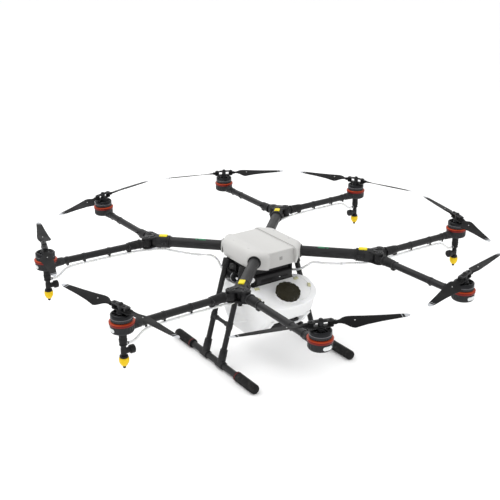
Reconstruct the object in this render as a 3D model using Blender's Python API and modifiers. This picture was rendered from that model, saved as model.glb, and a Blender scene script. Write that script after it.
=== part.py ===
"""Eight-rotor agricultural spray drone. Metres, +Z up, front (filler cap and battery side) towards -Y.
The origin is on the ground under the centre of the aircraft."""

import math

import bmesh
import bpy
from mathutils import Matrix, Vector

# ---------------------------------------------------------------- driving dimensions
MOTOR_R = 0.760  # motor axes lie on this radius (1520 mm diagonal wheelbase)
JOINT_R = 0.400  # centre of each folding Y joint
HINGE_OFF = 0.035  # from the Y joint's centre to each fold axis, along the arm
Z_RING = 0.420  # height of the orange motor rings above the ground
Z_TUBE = -0.018  # tube axes, from the ring plane
MAIN_R, MAIN_WALL = 0.019, 0.0025
ARM_R = 0.012
POD_R, RING_R, BELL_R = 0.0365, 0.0390, 0.0335
PIN_OFF = 0.030  # blade pins from the rotor axis
PROP_R = 0.267  # 21 inch propeller
BLADE_Z = 0.046  # blade mid height above the ring plane
GAP = 0.0003
SLOPE = math.radians(20.0)  # forward slope of the tank's filler deck
DECK_Y, DECK_Z = -0.084, -0.121  # where that slope begins
CAP_BASE = 0.0085  # cap's lower rim above the deck
CAP_Y = -0.1585

# number: (azimuth of the motor, Y joint azimuth, fold sense, blade tip azimuths, turns counter-clockwise, nozzle)
ARMS = {
    1: (247.5, 225.0, +1, (-22.0, 163.6), True, False),
    2: (202.5, 225.0, -1, (105.9, -81.0), False, True),
    3: (157.5, 135.0, +1, (73.2, -104.8), True, True),
    4: (112.5, 135.0, -1, (17.8, -152.9), False, False),
    5: (67.5, 45.0, +1, (164.5, -26.9), True, False),
    6: (22.5, 45.0, -1, (116.9, -71.5), False, True),
    7: (337.5, 315.0, +1, (73.0, -112.4), True, True),
    8: (292.5, 315.0, -1, (15.2, -160.3), False, False),
}
CORNERS = {"front_left": 225.0, "rear_left": 135.0, "rear_right": 45.0, "front_right": 315.0}

# ---------------------------------------------------------------- clean start
for old in list(bpy.data.objects):
    bpy.data.objects.remove(old, do_unlink=True)
scene = bpy.context.scene


def collection(name, hidden=False):
    c = bpy.data.collections.new(name)
    scene.collection.children.link(c)
    c.hide_render = hidden
    return c


PARTS = collection("spray_drone")
CUTTERS = collection("cutters", hidden=True)


def material(name, rgb, rough, metal=0.0):
    m = bpy.data.materials.new(name)
    m.use_nodes = True
    b = m.node_tree.nodes["Principled BSDF"]
    b.inputs["Base Color"].default_value = (*rgb, 1.0)
    b.inputs["Roughness"].default_value = rough
    b.inputs["Metallic"].default_value = metal
    m.diffuse_color = (*rgb, 1.0)
    return m


CARBON = material("carbon_tube", (0.030, 0.030, 0.032), 0.45)
BLACK = material("black_nylon", (0.022, 0.022, 0.024), 0.55)
PROP = material("propeller_composite", (0.015, 0.015, 0.016), 0.40)
WHITE = material("white_shell", (0.80, 0.80, 0.78), 0.40)
TANKM = material("tank_polyethylene", (0.82, 0.83, 0.83), 0.50)
CAPM = material("cap_olive", (0.040, 0.036, 0.020), 0.50)
BATT = material("battery_case", (0.030, 0.029, 0.031), 0.50)
BELL = material("motor_bell", (0.040, 0.041, 0.044), 0.35, 0.6)
HOSE = material("hose_translucent", (0.75, 0.76, 0.76), 0.35)
NOZZ = material("nozzle_black", (0.020, 0.020, 0.021), 0.40)
RUBBER = material("skid_rubber", (0.020, 0.020, 0.020), 0.85)
FRAME = material("frame_black", (0.025, 0.025, 0.027), 0.50, 0.2)


# ---------------------------------------------------------------- building blocks
def smooth(mesh, angle=35.0):
    mesh.shade_smooth()
    mesh.set_sharp_from_angle(angle=math.radians(angle))


def obj_from(name, bm, mat, home):
    bmesh.ops.recalc_face_normals(bm, faces=bm.faces)
    mesh = bpy.data.meshes.new(name)
    bm.to_mesh(mesh)
    bm.free()
    if mat:
        mesh.materials.append(mat)
    o = bpy.data.objects.new(name, mesh)
    home.objects.link(o)
    if home is CUTTERS:
        o.hide_render = True
        o.display_type = "WIRE"
    return o


def cylinder(name, p0, p1, r0, r1=None, seg=24, mat=None, home=None):
    p0, p1 = Vector(p0), Vector(p1)
    r1 = r0 if r1 is None else r1
    d = p1 - p0
    turn = d.to_track_quat("Z", "Y").to_matrix().to_4x4()
    bm = bmesh.new()
    bmesh.ops.create_cone(
        bm, cap_ends=True, segments=seg, radius1=r0, radius2=r1, depth=d.length, matrix=Matrix.Translation((p0 + p1) / 2) @ turn
    )
    return obj_from(name, bm, mat, home or CUTTERS)


def box(name, lo, hi, mat=None, home=None, at=None):
    lo, hi = Vector(lo), Vector(hi)
    bm = bmesh.new()
    bmesh.ops.create_cube(bm, size=1.0)
    bmesh.ops.scale(bm, vec=hi - lo, verts=bm.verts)
    bmesh.ops.translate(bm, vec=(lo + hi) / 2, verts=bm.verts)
    if at is not None:
        bmesh.ops.transform(bm, matrix=at, verts=bm.verts)
    return obj_from(name, bm, mat, home or CUTTERS)


def plate(name, outline, z0, z1, mat=None, home=None, at=None):
    """A flat outline raised from z0 to z1."""
    bm = bmesh.new()
    low = bm.faces.new([bm.verts.new((x, y, z0)) for x, y in outline])
    up = bmesh.ops.extrude_face_region(bm, geom=[low])
    bmesh.ops.translate(bm, vec=(0, 0, z1 - z0), verts=[v for v in up["geom"] if isinstance(v, bmesh.types.BMVert)])
    if at is not None:
        bmesh.ops.transform(bm, matrix=at, verts=bm.verts)
    return obj_from(name, bm, mat, home or CUTTERS)


def turned(name, profile, seg, mat=None, home=None, at=None):
    """A profile of (radius, height) pairs, top to bottom down its outer side, spun about Z."""
    bm = bmesh.new()
    last = None
    for r, z in profile:
        v = bm.verts.new((r, 0.0, z))
        if last is not None:
            bm.edges.new((last, v))
        last = v
    mesh = bpy.data.meshes.new(name)
    bm.to_mesh(mesh)
    bm.free()
    if mat:
        mesh.materials.append(mat)
    o = bpy.data.objects.new(name, mesh)
    home = home or CUTTERS
    home.objects.link(o)
    if home is CUTTERS:
        o.hide_render = True
        o.display_type = "WIRE"
    s = o.modifiers.new("spin", "SCREW")
    s.axis = "Z"
    s.steps = seg
    s.render_steps = seg
    s.use_merge_vertices = True
    s.merge_threshold = 0.00002
    s.use_normal_calculate = False
    if at is not None:
        o.matrix_world = at
    return o


def loft(name, rings, mat=None, home=None):
    """A closed body through rings of equal point counts."""
    bm = bmesh.new()
    made = [[bm.verts.new(p) for p in ring] for ring in rings]
    n = len(made[0])
    for a, b in zip(made, made[1:]):
        for i in range(n):
            bm.faces.new((a[i], a[(i + 1) % n], b[(i + 1) % n], b[i]))
    bm.faces.new(list(reversed(made[0])))
    bm.faces.new(made[-1])
    return obj_from(name, bm, mat, home or CUTTERS)


def join(target, *others):
    for other in others:
        m = target.modifiers.new("join_" + other.name, "BOOLEAN")
        m.operation, m.solver, m.object = "UNION", "EXACT", other
    return target


def cut(target, *others):
    for other in others:
        m = target.modifiers.new("cut_" + other.name, "BOOLEAN")
        m.operation, m.solver, m.object = "DIFFERENCE", "EXACT", other
    return target


def baked(o, name, angle=35.0):
    """The object's finished mesh, for pieces that are used several times."""
    bpy.context.view_layer.update()
    graph = bpy.context.evaluated_depsgraph_get()
    mesh = bpy.data.meshes.new_from_object(o.evaluated_get(graph))
    mesh.name = name
    smooth(mesh, angle)
    o.hide_render = True
    o.display_type = "WIRE"
    return mesh


def place(name, mesh, where, mat=None):
    o = bpy.data.objects.new(name, mesh)
    PARTS.objects.link(o)
    o.matrix_world = where
    if mat and not mesh.materials:
        mesh.materials.append(mat)
    return o


def polar(radius, azimuth, z=0.0):
    a = math.radians(azimuth)
    return Vector((radius * math.cos(a), radius * math.sin(a), z))


def rounded(x0, x1, y0, y1, r, z, n=4):
    """Rounded rectangle ring at height z, counter-clockwise."""
    pts = []
    for cx, cy, a0 in ((x1 - r, y1 - r, 0), (x0 + r, y1 - r, 90), (x0 + r, y0 + r, 180), (x1 - r, y0 + r, 270)):
        for i in range(n + 1):
            a = math.radians(a0 + 90.0 * i / n)
            pts.append(Vector((cx + r * math.cos(a), cy + r * math.sin(a), z)))
    return pts


def up(z):
    """Height above the ground of a height given from the ring plane."""
    return z + Z_RING


# ---------------------------------------------------------------- where each arm lies
def arm_line(number):
    azim, joint = ARMS[number][:2]
    y = polar(JOINT_R, joint)
    m = polar(MOTOR_R, azim)
    d = (m - y).normalized()
    return y + d * HINGE_OFF, m, d


def arm_frame(number):
    """Origin on the fold axis at tube height, +X along the arm."""
    hinge, motor, d = arm_line(number)
    hinge.z = up(Z_TUBE)
    return Matrix.Translation(hinge) @ Matrix.Rotation(math.atan2(d.y, d.x), 4, "Z")


ARM_LEN = (arm_line(1)[1] - arm_line(1)[0]).length
TUBE_END = ARM_LEN - 0.020

# ---------------------------------------------------------------- arms: knuckle, locking sleeve, carbon tube and motor pod
pod_z = -Z_TUBE  # ring plane in the arm's own frame


NOZ_X = ARM_LEN  # the nozzle hangs under the middle of the motor pod
NOZ_DROP = 0.017  # extra length of its stem


def arm_mesh(name, with_nozzle):
    tube = cylinder(name, (0.018, 0, 0), (TUBE_END, 0, 0), ARM_R, seg=12, mat=CARBON)
    knuckle = cylinder(name + "_knuckle", (0, 0, -0.0135), (0, 0, 0.0135), 0.0165, seg=18)
    neck = box(name + "_neck", (0.006, -0.0115, -0.0115), (0.027, 0.0115, 0.0115))
    ring = cylinder(name + "_ring", (0.0245, 0, 0), (0.0310, 0, 0), 0.0180, seg=14)
    sleeve = cylinder(name + "_sleeve", (0.0300, 0, 0), (0.0730, 0, 0), 0.0160, 0.0150, seg=14)
    lug = box(name + "_lug", (0.066, -0.0060, -0.0190), (0.079, 0.0060, 0.0))
    pod = turned(
        name + "_pod",
        [
            (0.0, pod_z + 0.0050),
            (RING_R, pod_z + 0.0050),
            (RING_R, pod_z - 0.0050),
            (POD_R, pod_z - 0.0054),
            (POD_R, pod_z - 0.0260),
            (0.0320, pod_z - 0.0300),
            (0.0, pod_z - 0.0300),
        ],
        20,
        at=Matrix.Translation((ARM_LEN, 0, 0)),
    )
    body = join(tube, knuckle, neck, ring, sleeve, lug, pod)
    if with_nozzle:
        stub = cylinder(name + "_stub", (ARM_LEN, 0, pod_z - 0.0460 - NOZ_DROP), (ARM_LEN, 0, pod_z - 0.0270), 0.0125, 0.0142, seg=14)
        join(body, stub)
    bore = cylinder(name + "_bore", (0, 0, -0.03), (0, 0, 0.03), 0.0044, seg=10)
    cut(body, bore)
    return baked(body, name)


plain_arm = arm_mesh("arm_plain", False)
spray_arm = arm_mesh("arm_spray", True)
for k in ARMS:
    place(f"arm_{k}", spray_arm if ARMS[k][5] else plain_arm, arm_frame(k))

# ---------------------------------------------------------------- rotors: motor bell and folding propeller hub
bell = turned(
    "rotor_base",
    [
        (0.0, 0.0365),
        (0.0125, 0.0365),
        (0.0125, 0.0310),
        (0.0285, 0.0310),
        (BELL_R, 0.0275),
        (BELL_R, 0.0056),
        (0.0, 0.0056),
    ],
    20,
    mat=BELL,
)
hub_low = box("rotor_hub_low", (-0.038, -0.0105, 0.0355), (0.038, 0.0105, 0.0395))
hub_top = box("rotor_hub_top", (-0.038, -0.0100, 0.0525), (0.038, 0.0100, 0.0555))
hub_post = cylinder("rotor_post", (0, 0, 0.034), (0, 0, 0.0620), 0.0085, 0.0070, seg=10)
pins = [cylinder(f"rotor_pin_{i}", (s * PIN_OFF, 0, 0.038), (s * PIN_OFF, 0, 0.0575), 0.0030, seg=8) for i, s in enumerate((1, -1))]
rotor_mesh = baked(join(bell, hub_low, hub_top, hub_post, *pins), "rotor")


def hub_azimuth(number):
    t1, t2 = ARMS[number][3]
    back = (t2 + 180.0 - t1 + 180.0) % 360.0 - 180.0
    return t1 + back / 2.0


for k in ARMS:
    m = polar(MOTOR_R, ARMS[k][0], Z_RING)
    place(f"rotor_{k}", rotor_mesh, Matrix.Translation(m) @ Matrix.Rotation(math.radians(hub_azimuth(k)), 4, "Z"))

# ---------------------------------------------------------------- propeller blades, root on its pin, leading edge towards +Y when turning counter-clockwise
BLADE_LEN = PROP_R - PIN_OFF


def blade_mesh(name, hand):
    # station along the blade, leading edge, trailing edge, thickness, pitch in degrees
    stations = (
        (0.010, 0.0085, -0.0085, 0.0100, 0.0),
        (0.026, 0.0095, -0.0085, 0.0080, 6.0),
        (0.038, 0.0175, -0.0140, 0.0058, 15.0),
        (0.062, 0.0185, -0.0320, 0.0044, 17.0),
        (0.105, 0.0150, -0.0240, 0.0036, 13.0),
        (0.165, 0.0110, -0.0165, 0.0028, 9.5),
        (0.228, 0.0072, -0.0095, 0.0020, 7.0),
        (BLADE_LEN, 0.0035, -0.0050, 0.0012, 6.0),
    )
    foil = ((1.0, 0.0), (0.78, 0.50), (0.35, 0.34), (0.0, 0.06), (0.0, -0.06), (0.45, -0.28), (0.88, -0.30))
    rings = []
    for x, lead, trail, thick, pitch in stations:
        p = math.radians(pitch)
        ring = []
        for u, w in foil:
            y = trail + (lead - trail) * u
            z = thick * w
            ring.append(Vector((x, hand * (y * math.cos(p) - z * math.sin(p)), y * math.sin(p) + z * math.cos(p))))
        rings.append(ring)
    blade = loft(name, rings, mat=PROP)
    root = cylinder(name + "_root", (0, 0, -0.0060), (0, 0, 0.0060), 0.0088, seg=12)
    neck = box(name + "_neck", (0.0, -0.0080, -0.0045), (0.0135, 0.0080, 0.0045))
    bore = cylinder(name + "_bore", (0, 0, -0.02), (0, 0, 0.02), 0.0034, seg=8)
    return baked(cut(join(blade, root, neck), bore), name)


blade_ccw = blade_mesh("blade_ccw", 1)
blade_cw = blade_mesh("blade_cw", -1)
for k in ARMS:
    centre = polar(MOTOR_R, ARMS[k][0])
    hub = hub_azimuth(k)
    for side, letter in ((0, "a"), (1, "b")):
        pin = centre + polar(PIN_OFF, hub + 180.0 * side)
        tip = centre + polar(PROP_R, ARMS[k][3][side])
        way = tip - pin
        pin.z = up(BLADE_Z)
        place(
            f"blade_{k}{letter}",
            blade_ccw if ARMS[k][4] else blade_cw,
            Matrix.Translation(pin) @ Matrix.Rotation(math.atan2(way.y, way.x), 4, "Z"),
        )

# ---------------------------------------------------------------- Y joints: clamp on the main tube, forked ears and fold pins
half = math.atan2(polar(MOTOR_R, 22.5).y, polar(MOTOR_R, 22.5).x - JOINT_R)
hinge_x, hinge_y = JOINT_R + HINGE_OFF * math.cos(half), HINGE_OFF * math.sin(half)


def ear_outline(r=0.0172):
    """Two rounded fingers from the joint's centre to the two fold axes."""
    pts = []
    for sign in (-1, 1):
        a_mid = math.degrees(math.atan2(sign * hinge_y, hinge_x - JOINT_R))
        sweep = [a_mid - 90 + 180 * i / 6 for i in range(7)]
        pts += [(hinge_x + r * math.cos(math.radians(a)), sign * hinge_y + r * math.sin(math.radians(a))) for a in sweep]
    back = [(JOINT_R - 0.016, 0.0175), (JOINT_R - 0.016, -0.0175)]
    return pts + back


clamp = cylinder("y_joint", (0.342, 0, 0), (JOINT_R + 0.002, 0, 0), 0.0240, seg=18, mat=BLACK)
core = cylinder("y_core", (JOINT_R, 0, -0.0200), (JOINT_R, 0, 0.0200), 0.0178, seg=14)
ear_top = plate("y_ear_top", ear_outline(), 0.0141, 0.0200)
ear_low = plate("y_ear_low", ear_outline(), -0.0200, -0.0141)
fold_pins = [cylinder(f"y_pin_{i}", (hinge_x, s * hinge_y, -0.0215), (hinge_x, s * hinge_y, 0.0215), 0.0040, seg=8) for i, s in enumerate((1, -1))]
tube_bore = cylinder("y_bore", (0.30, 0, 0), (0.3945, 0, 0), MAIN_R + GAP, seg=16)
trim = [
    box(f"y_trim_{i}", (0.372, min(s * 0.0185, s * 0.04), -0.0140), (0.440, max(s * 0.0185, s * 0.04), 0.0140))
    for i, s in enumerate((1, -1))
]
y_mesh = baked(cut(join(cut(clamp, *trim), core, ear_top, ear_low, *fold_pins), tube_bore), "y_joint")
for name, azim in CORNERS.items():
    place(f"y_joint_{name}", y_mesh, Matrix.Translation((0, 0, up(Z_TUBE))) @ Matrix.Rotation(math.radians(azim), 4, "Z"))

# ---------------------------------------------------------------- main tubes, hollow carbon
main = cylinder("main_tube", (0.072, 0, 0), (0.3940, 0, 0), MAIN_R, seg=16, mat=CARBON)
main_bore = cylinder("main_bore", (0.05, 0, 0), (0.42, 0, 0), MAIN_R - MAIN_WALL, seg=16)
main_mesh = baked(cut(main, main_bore), "main_tube")
for name, azim in CORNERS.items():
    place(f"main_tube_{name}", main_mesh, Matrix.Translation((0, 0, up(Z_TUBE))) @ Matrix.Rotation(math.radians(azim), 4, "Z"))

# ---------------------------------------------------------------- centre frame: plate, tube collars, leg sockets and battery bay
PLATE = ((0.094, -0.070), (0.094, 0.070), (0.070, 0.098), (-0.070, 0.098), (-0.094, 0.070), (-0.094, -0.070), (-0.070, -0.098), (0.070, -0.098))
frame = plate("center_frame", PLATE, up(-0.0440), up(-0.0400), mat=FRAME, home=PARTS)
for name, azim in CORNERS.items():
    join(frame, cylinder(f"collar_{name}", polar(0.078, azim, up(Z_TUBE)), polar(0.1475, azim, up(Z_TUBE)), 0.0233, seg=16))
for name, azim in CORNERS.items():
    cut(frame, cylinder(f"collar_bore_{name}", polar(0.0685, azim, up(Z_TUBE)), polar(0.17, azim, up(Z_TUBE)), MAIN_R + GAP, seg=16))

LEG_TOP, LEG_FOOT = Vector((0.1146, 0, -0.0505)), Vector((0.2140, 0, -0.4020))
leg_way = (LEG_FOOT - LEG_TOP).normalized()
LEG_Y = 0.0525
SKID_Z = -Z_RING + 0.0165
SKID_PADS = {1: (0.137, 0.255), -1: (0.157, 0.275)}
for s in (1, -1):
    rail = box(f"bay_rail_{s}", (min(s * 0.0835, s * 0.0925), -0.066, up(-0.0680)), (max(s * 0.0835, s * 0.0925), 0.090, up(-0.0410)))
    wall = box(f"bay_wall_{s}", (min(s * 0.0790, s * 0.0850), -0.076, up(-0.1370)), (max(s * 0.0790, s * 0.0850), 0.100, up(-0.0660)))
    join(frame, rail, wall)
    for fy in (1, -1):
        a = LEG_TOP + leg_way * -0.0006
        b = LEG_TOP + leg_way * 0.0310
        pa = Vector((s * a.x, fy * LEG_Y, up(a.z)))
        pb = Vector((s * b.x, fy * LEG_Y, up(b.z)))
        arm = box(
            f"bay_arm_{s}_{fy}",
            (min(s * 0.090, s * 0.110), fy * LEG_Y - 0.010, up(-0.0680)),
            (max(s * 0.090, s * 0.110), fy * LEG_Y + 0.010, up(-0.0520)),
        )
        join(frame, arm, cylinder(f"leg_socket_{s}_{fy}", pa, pb, 0.0138, seg=14))
        c = LEG_TOP + leg_way * 0.0033
        pc = Vector((s * c.x, fy * LEG_Y, up(c.z)))
        d = LEG_TOP + leg_way * 0.06
        pd = Vector((s * d.x, fy * LEG_Y, up(d.z)))
        cut(frame, cylinder(f"leg_socket_bore_{s}_{fy}", pc, pd, 0.0104, seg=12))
join(
    frame,
    box("bay_floor", (-0.082, -0.076, up(-0.1250)), (0.082, 0.100, up(-0.1180))),
    box("bay_lip", (-0.082, -0.082, up(-0.1370)), (0.082, -0.073, up(-0.1180))),
)
smooth(frame.data)

# ---------------------------------------------------------------- top shell
def shell_rings(t):
    """Octagonal dome: full size at mid height, tucked in at the skirt and rounded at the top; t is the inset of the inside."""
    rings = []
    for z, inset in ((-0.0480, 0.0085), (-0.0200, 0.0015), (-0.0040, 0.0), (0.0060, 0.0035), (0.0120, 0.0095), (0.0155, 0.0190)):
        zz = z - (0.0 if z < 0 else t)
        hx, yf, yr = 0.117 - inset - t, -0.137 + inset + t, 0.131 - inset - t
        c = 0.2022 - 1.25 * inset - 1.4142 * t
        pts = []
        for sx, yy in ((1, yr), (-1, yr), (-1, yf), (1, yf)):
            side = (sx * hx, math.copysign(c - hx, yy))
            end = (sx * (c - abs(yy)), yy)
            mid = (sx * (hx + c - abs(yy)) / 2 + sx * 0.0020, math.copysign((c - hx + abs(yy)) / 2 + 0.0020, yy))
            pts += [side, mid, end] if sx * yy > 0 else [end, mid, side]
        rings.append([Vector((x, y, up(zz))) for x, y in pts])
    return rings


T = 0.0025
shell_in = shell_rings(T)
for v in shell_in[0]:
    v.z -= 0.02
shell = loft("top_shell", shell_rings(0.0), mat=WHITE, home=PARTS)
inside = loft("shell_inside", shell_in)
for sub, t in ((shell, 0.0), (inside, T)):
    tag = sub.name
    cut(sub, box(tag + "_roof", (-0.058 - t, -0.2, up(0.0100 - t)), (0.058 + t, 0.2, up(0.05))))
    cut(sub, box(tag + "_front", (-0.058 - t, -0.2, up(-0.10)), (0.058 + t, -0.1200 + t, up(0.05))))
    cut(sub, box(tag + "_rear", (-0.058 - t, 0.1160 - t, up(-0.10)), (0.058 + t, 0.2, up(0.05))))
cut(shell, inside)
for name, azim in CORNERS.items():
    cut(shell, cylinder(f"shell_hole_{name}", polar(0.10, azim, up(Z_TUBE)), polar(0.20, azim, up(Z_TUBE)), 0.0240, seg=18))
smooth(shell.data)

# ---------------------------------------------------------------- flight controller under the shell
fc = box("flight_controller", (-0.036, -0.048, up(-0.0397)), (0.036, 0.048, up(-0.0120)), mat=BLACK, home=PARTS)
b = fc.modifiers.new("edges", "BEVEL")
b.width, b.segments = 0.003, 2

# ---------------------------------------------------------------- battery, slides out towards +Y over the bay floor, clear of the filler cap
battery = box("battery", (-0.0775, -0.066, up(-0.1176)), (0.0775, 0.096, up(-0.0560)), mat=BATT, home=PARTS)
nose = box("battery_nose", (-0.0775, -0.0840, up(-0.1170)), (0.0775, -0.060, up(-0.0890)))
grip = box("battery_grip", (-0.045, 0.1070, up(-0.0950)), (0.045, 0.1130, up(-0.0850)))
join(battery, nose)
join(battery, box("battery_strut_l", (-0.045, 0.0900, up(-0.0950)), (-0.037, 0.1130, up(-0.0850))))
join(battery, box("battery_strut_r", (0.037, 0.0900, up(-0.0950)), (0.045, 0.1130, up(-0.0850))))
join(battery, grip)

# ---------------------------------------------------------------- tank: hollow body, sloping filler deck, neck, pump recess
def tank_rings(t):
    rows = (
        (-0.3370 + t, 0.070, -0.040, 0.060, 0.030),
        (-0.3310 + t * 0.5, 0.085, -0.056, 0.080, 0.034),
        (-0.2950, 0.101, -0.108, 0.103, 0.036),
        (-0.2550, 0.108, -0.154, 0.113, 0.036),
        (-0.2150, 0.111, -0.186, 0.115, 0.036),
        (-0.1190 - t * 1.2, 0.111, -0.204, 0.113, 0.036),
    )
    return [rounded(-hx + t, hx - t, y0 + t, y1 - t, r - t, up(z), 4) for z, hx, y0, y1, r in rows]


deck = Matrix.Translation((0, DECK_Y, up(DECK_Z))) @ Matrix.Rotation(SLOPE, 4, "X")
W = 0.0035
STEP_Y, STEP_Z = -0.0855, -0.1390
tank = loft("tank", tank_rings(0.0), mat=TANKM, home=PARTS)
cut(tank, box("deck_cut", (-0.2, -0.25, 0.0), (0.2, 0.03, 0.2), at=deck))
# behind the filler deck the tank stays low, under the battery bay
cut(tank, box("rear_cut", (-0.2, STEP_Y, up(STEP_Z)), (0.2, 0.2, up(-0.05))))
deck_plan = [(0.128, -0.0065), (0.134, -0.055), (0.127, -0.088), (0.098, -0.116), (0.058, -0.134), (0.030, -0.138)]
join(tank, plate("deck_plate", deck_plan + [(-x, y) for x, y in reversed(deck_plan)], -0.0105, 0.0, at=deck))
rear_plan = [(0.128, -0.088), (0.121, -0.066), (0.104, -0.048), (0.090, -0.040)]
join(tank, plate("deck_rear", rear_plan + [(-x, y) for x, y in reversed(rear_plan)], up(-0.1490), up(-0.1390)))
cheek_plan = [(0.128, -0.096), (0.126, -0.080), (0.118, -0.062), (0.104, -0.048), (0.0885, -0.044), (0.0885, -0.096)]
join(tank, plate("cheek_right", cheek_plan, up(-0.1480), up(-0.1262)))
join(tank, plate("cheek_left", [(-x, y) for x, y in reversed(cheek_plan)], up(-0.1480), up(-0.1262)))
# where the filler neck stands, measured down the slope
neck_t = -(DECK_Y - CAP_Y) / math.cos(SLOPE)
join(tank, cylinder("neck", deck @ Vector((0, neck_t, -0.004)), deck @ Vector((0, neck_t, 0.0190)), 0.0395, seg=20))
join(tank, cylinder("neck_collar", deck @ Vector((0, neck_t, -0.004)), deck @ Vector((0, neck_t, CAP_BASE - GAP - 0.0005)), 0.0440, seg=22))
cut(tank, box("recess", (-0.072, -0.25, up(-0.40)), (0.072, -0.096, up(-0.2380))))
cavity = loft("tank_cavity", tank_rings(W))
cut(cavity, box("cavity_deck", (-0.2, -0.25, -W), (0.2, 0.03, 0.2), at=deck))
cut(cavity, box("cavity_rear", (-0.2, STEP_Y - W, up(STEP_Z - W * 1.2)), (0.2, 0.2, up(-0.05))))
cut(cavity, box("cavity_recess", (-0.072 - W, -0.26, up(-0.41)), (0.072 + W, -0.096 + W, up(-0.2380 + W))))
cut(tank, cavity)
cut(tank, cylinder("neck_bore", deck @ Vector((0, neck_t, -0.030)), deck @ Vector((0, neck_t, 0.05)), 0.0360, seg=20))
smooth(tank.data)

# ---------------------------------------------------------------- filler cap, lifts off along the neck
cap_frame = deck @ Matrix.Translation((0, neck_t, CAP_BASE))
lobes, n_edge = 14, 42


def cap_ring(z, r, depth):
    pts = []
    for i in range(n_edge):
        a = 2 * math.pi * i / n_edge
        rr = r - depth * (0.5 - 0.5 * math.cos(lobes * a))
        pts.append(cap_frame @ Vector((rr * math.cos(a), rr * math.sin(a), z)))
    return pts


cap = loft("tank_cap", [cap_ring(0.0, 0.0445, 0.0020), cap_ring(0.0160, 0.0450, 0.0026), cap_ring(0.0205, 0.0425, 0.0022)], mat=CAPM, home=PARTS)
cut(cap, cylinder("cap_hollow", cap_frame @ Vector((0, 0, -0.02)), cap_frame @ Vector((0, 0, 0.0150)), 0.0408, seg=20))
smooth(cap.data)

# ---------------------------------------------------------------- pumps beside the battery bay
for side, s in (("left", -1), ("right", 1)):
    x = s * 0.1030
    pump = cylinder(f"pump_{side}", (x, 0.014, up(-0.1150)), (x, 0.060, up(-0.1150)), 0.0165, seg=20, mat=BLACK, home=PARTS)
    head = box(f"pump_head_{side}", (x - 0.0150, 0.054, up(-0.1310)), (x + 0.0150, 0.080, up(-0.0990)))
    hanger = box(f"pump_hanger_{side}", (x - 0.0150 if s > 0 else x + 0.0060, 0.024, up(-0.1080)), (x - 0.0060 if s > 0 else x + 0.0150, 0.046, up(-0.0683)))
    nib_f = cylinder(f"pump_nib_f_{side}", (x, 0.016, up(-0.1150)), (x, 0.0080, up(-0.1150)), 0.0050, seg=12)
    nib_r = cylinder(f"pump_nib_r_{side}", (x, 0.078, up(-0.1150)), (x, 0.0860, up(-0.1150)), 0.0050, seg=12)
    join(pump, head, hanger, nib_f, nib_r)
    smooth(pump.data)

# ---------------------------------------------------------------- landing gear
for side, s in (("left", -1), ("right", 1)):
    foot = LEG_TOP + leg_way * 0.3490
    legs = []
    for fy in (1, -1):
        a, e = LEG_TOP + leg_way * 0.0036, foot
        legs.append(
            cylinder(
                f"leg_{side}_{fy}",
                (s * a.x, fy * LEG_Y, up(a.z)),
                (s * e.x, fy * LEG_Y, up(e.z)),
                0.0100,
                seg=12,
            )
        )
    m = LEG_TOP + leg_way * ((-0.262 - LEG_TOP.z) / leg_way.z)
    bar = cylinder(f"leg_frame_{side}", (s * m.x, -LEG_Y, up(m.z)), (s * m.x, LEG_Y, up(m.z)), 0.0070, seg=10, mat=CARBON, home=PARTS)
    join(bar, *legs)
    smooth(bar.data)

    # skid: carbon tube, rubber ends with a flat underside, and the two cuffs that hold the legs
    zc = up(SKID_Z)
    skid = cylinder(f"skid_{side}", (s * 0.214, -0.270, zc), (s * 0.214, 0.250, zc), 0.0115, seg=12, mat=RUBBER, home=PARTS)
    for fy in (1, -1):
        near, far = SKID_PADS[fy]
        ends = cylinder(f"skid_pad_{side}_{fy}", (s * 0.214, fy * near, zc), (s * 0.214, fy * far, zc), 0.0175, seg=18)
        grip_sleeve = cylinder(f"skid_tee_{side}_{fy}", (s * 0.214, fy * LEG_Y - 0.021, zc), (s * 0.214, fy * LEG_Y + 0.021, zc), 0.0150, seg=14)
        a = Vector((0.2140, 0, SKID_Z)) - leg_way * 0.004
        e = Vector((0.2140, 0, SKID_Z)) - leg_way * 0.0560
        cuff = cylinder(
            f"skid_cuff_{side}_{fy}",
            (s * a.x, fy * LEG_Y, up(a.z)),
            (s * e.x, fy * LEG_Y, up(e.z)),
            0.0150,
            0.0135,
            seg=14,
        )
        join(skid, ends, grip_sleeve, cuff)
    for fy in (1, -1):
        a = foot + leg_way * 0.0005
        e = foot - leg_way * 0.080
        cut(
            skid,
            cylinder(
                f"skid_cuff_bore_{side}_{fy}",
                (s * a.x, fy * LEG_Y, up(a.z)),
                (s * e.x, fy * LEG_Y, up(e.z)),
                0.0104,
                seg=12,
            ),
        )
    cut(skid, box(f"skid_floor_{side}", (s * 0.214 - 0.05, -0.3, -0.05), (s * 0.214 + 0.05, 0.3, 0.0)))
    smooth(skid.data)

# ---------------------------------------------------------------- nozzles under four of the motors
noz_body = turned(
    "nozzle_body",
    [
        (0.0, -0.0463),
        (0.0125, -0.0463),
        (0.0125, -0.0585),
        (0.0085, -0.0600),
        (0.0085, -0.0930),
        (0.0155, -0.0950),
        (0.0150, -0.1130),
        (0.0105, -0.1250),
        (0.0050, -0.1350),
        (0.0, -0.1350),
    ],
    14,
    mat=NOZZ,
)
valve = cylinder("nozzle_valve", (-0.004, 0, -0.0800), (-0.026, 0, -0.0800), 0.0095, seg=10)
knob = cylinder("nozzle_knob", (-0.018, 0, -0.0800), (-0.036, 0, -0.0800), 0.0135, 0.0125, seg=14)
barb = cylinder("nozzle_barb", (-0.004, 0, -0.0565), (-0.0175, 0, -0.0565), 0.0045, seg=8)
nozzle_mesh = baked(join(noz_body, valve, knob, barb), "nozzle")
for k in ARMS:
    if ARMS[k][5]:
        place(f"nozzle_{k}", nozzle_mesh, arm_frame(k) @ Matrix.Translation((NOZ_X, 0, pod_z - NOZ_DROP)))

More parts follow.
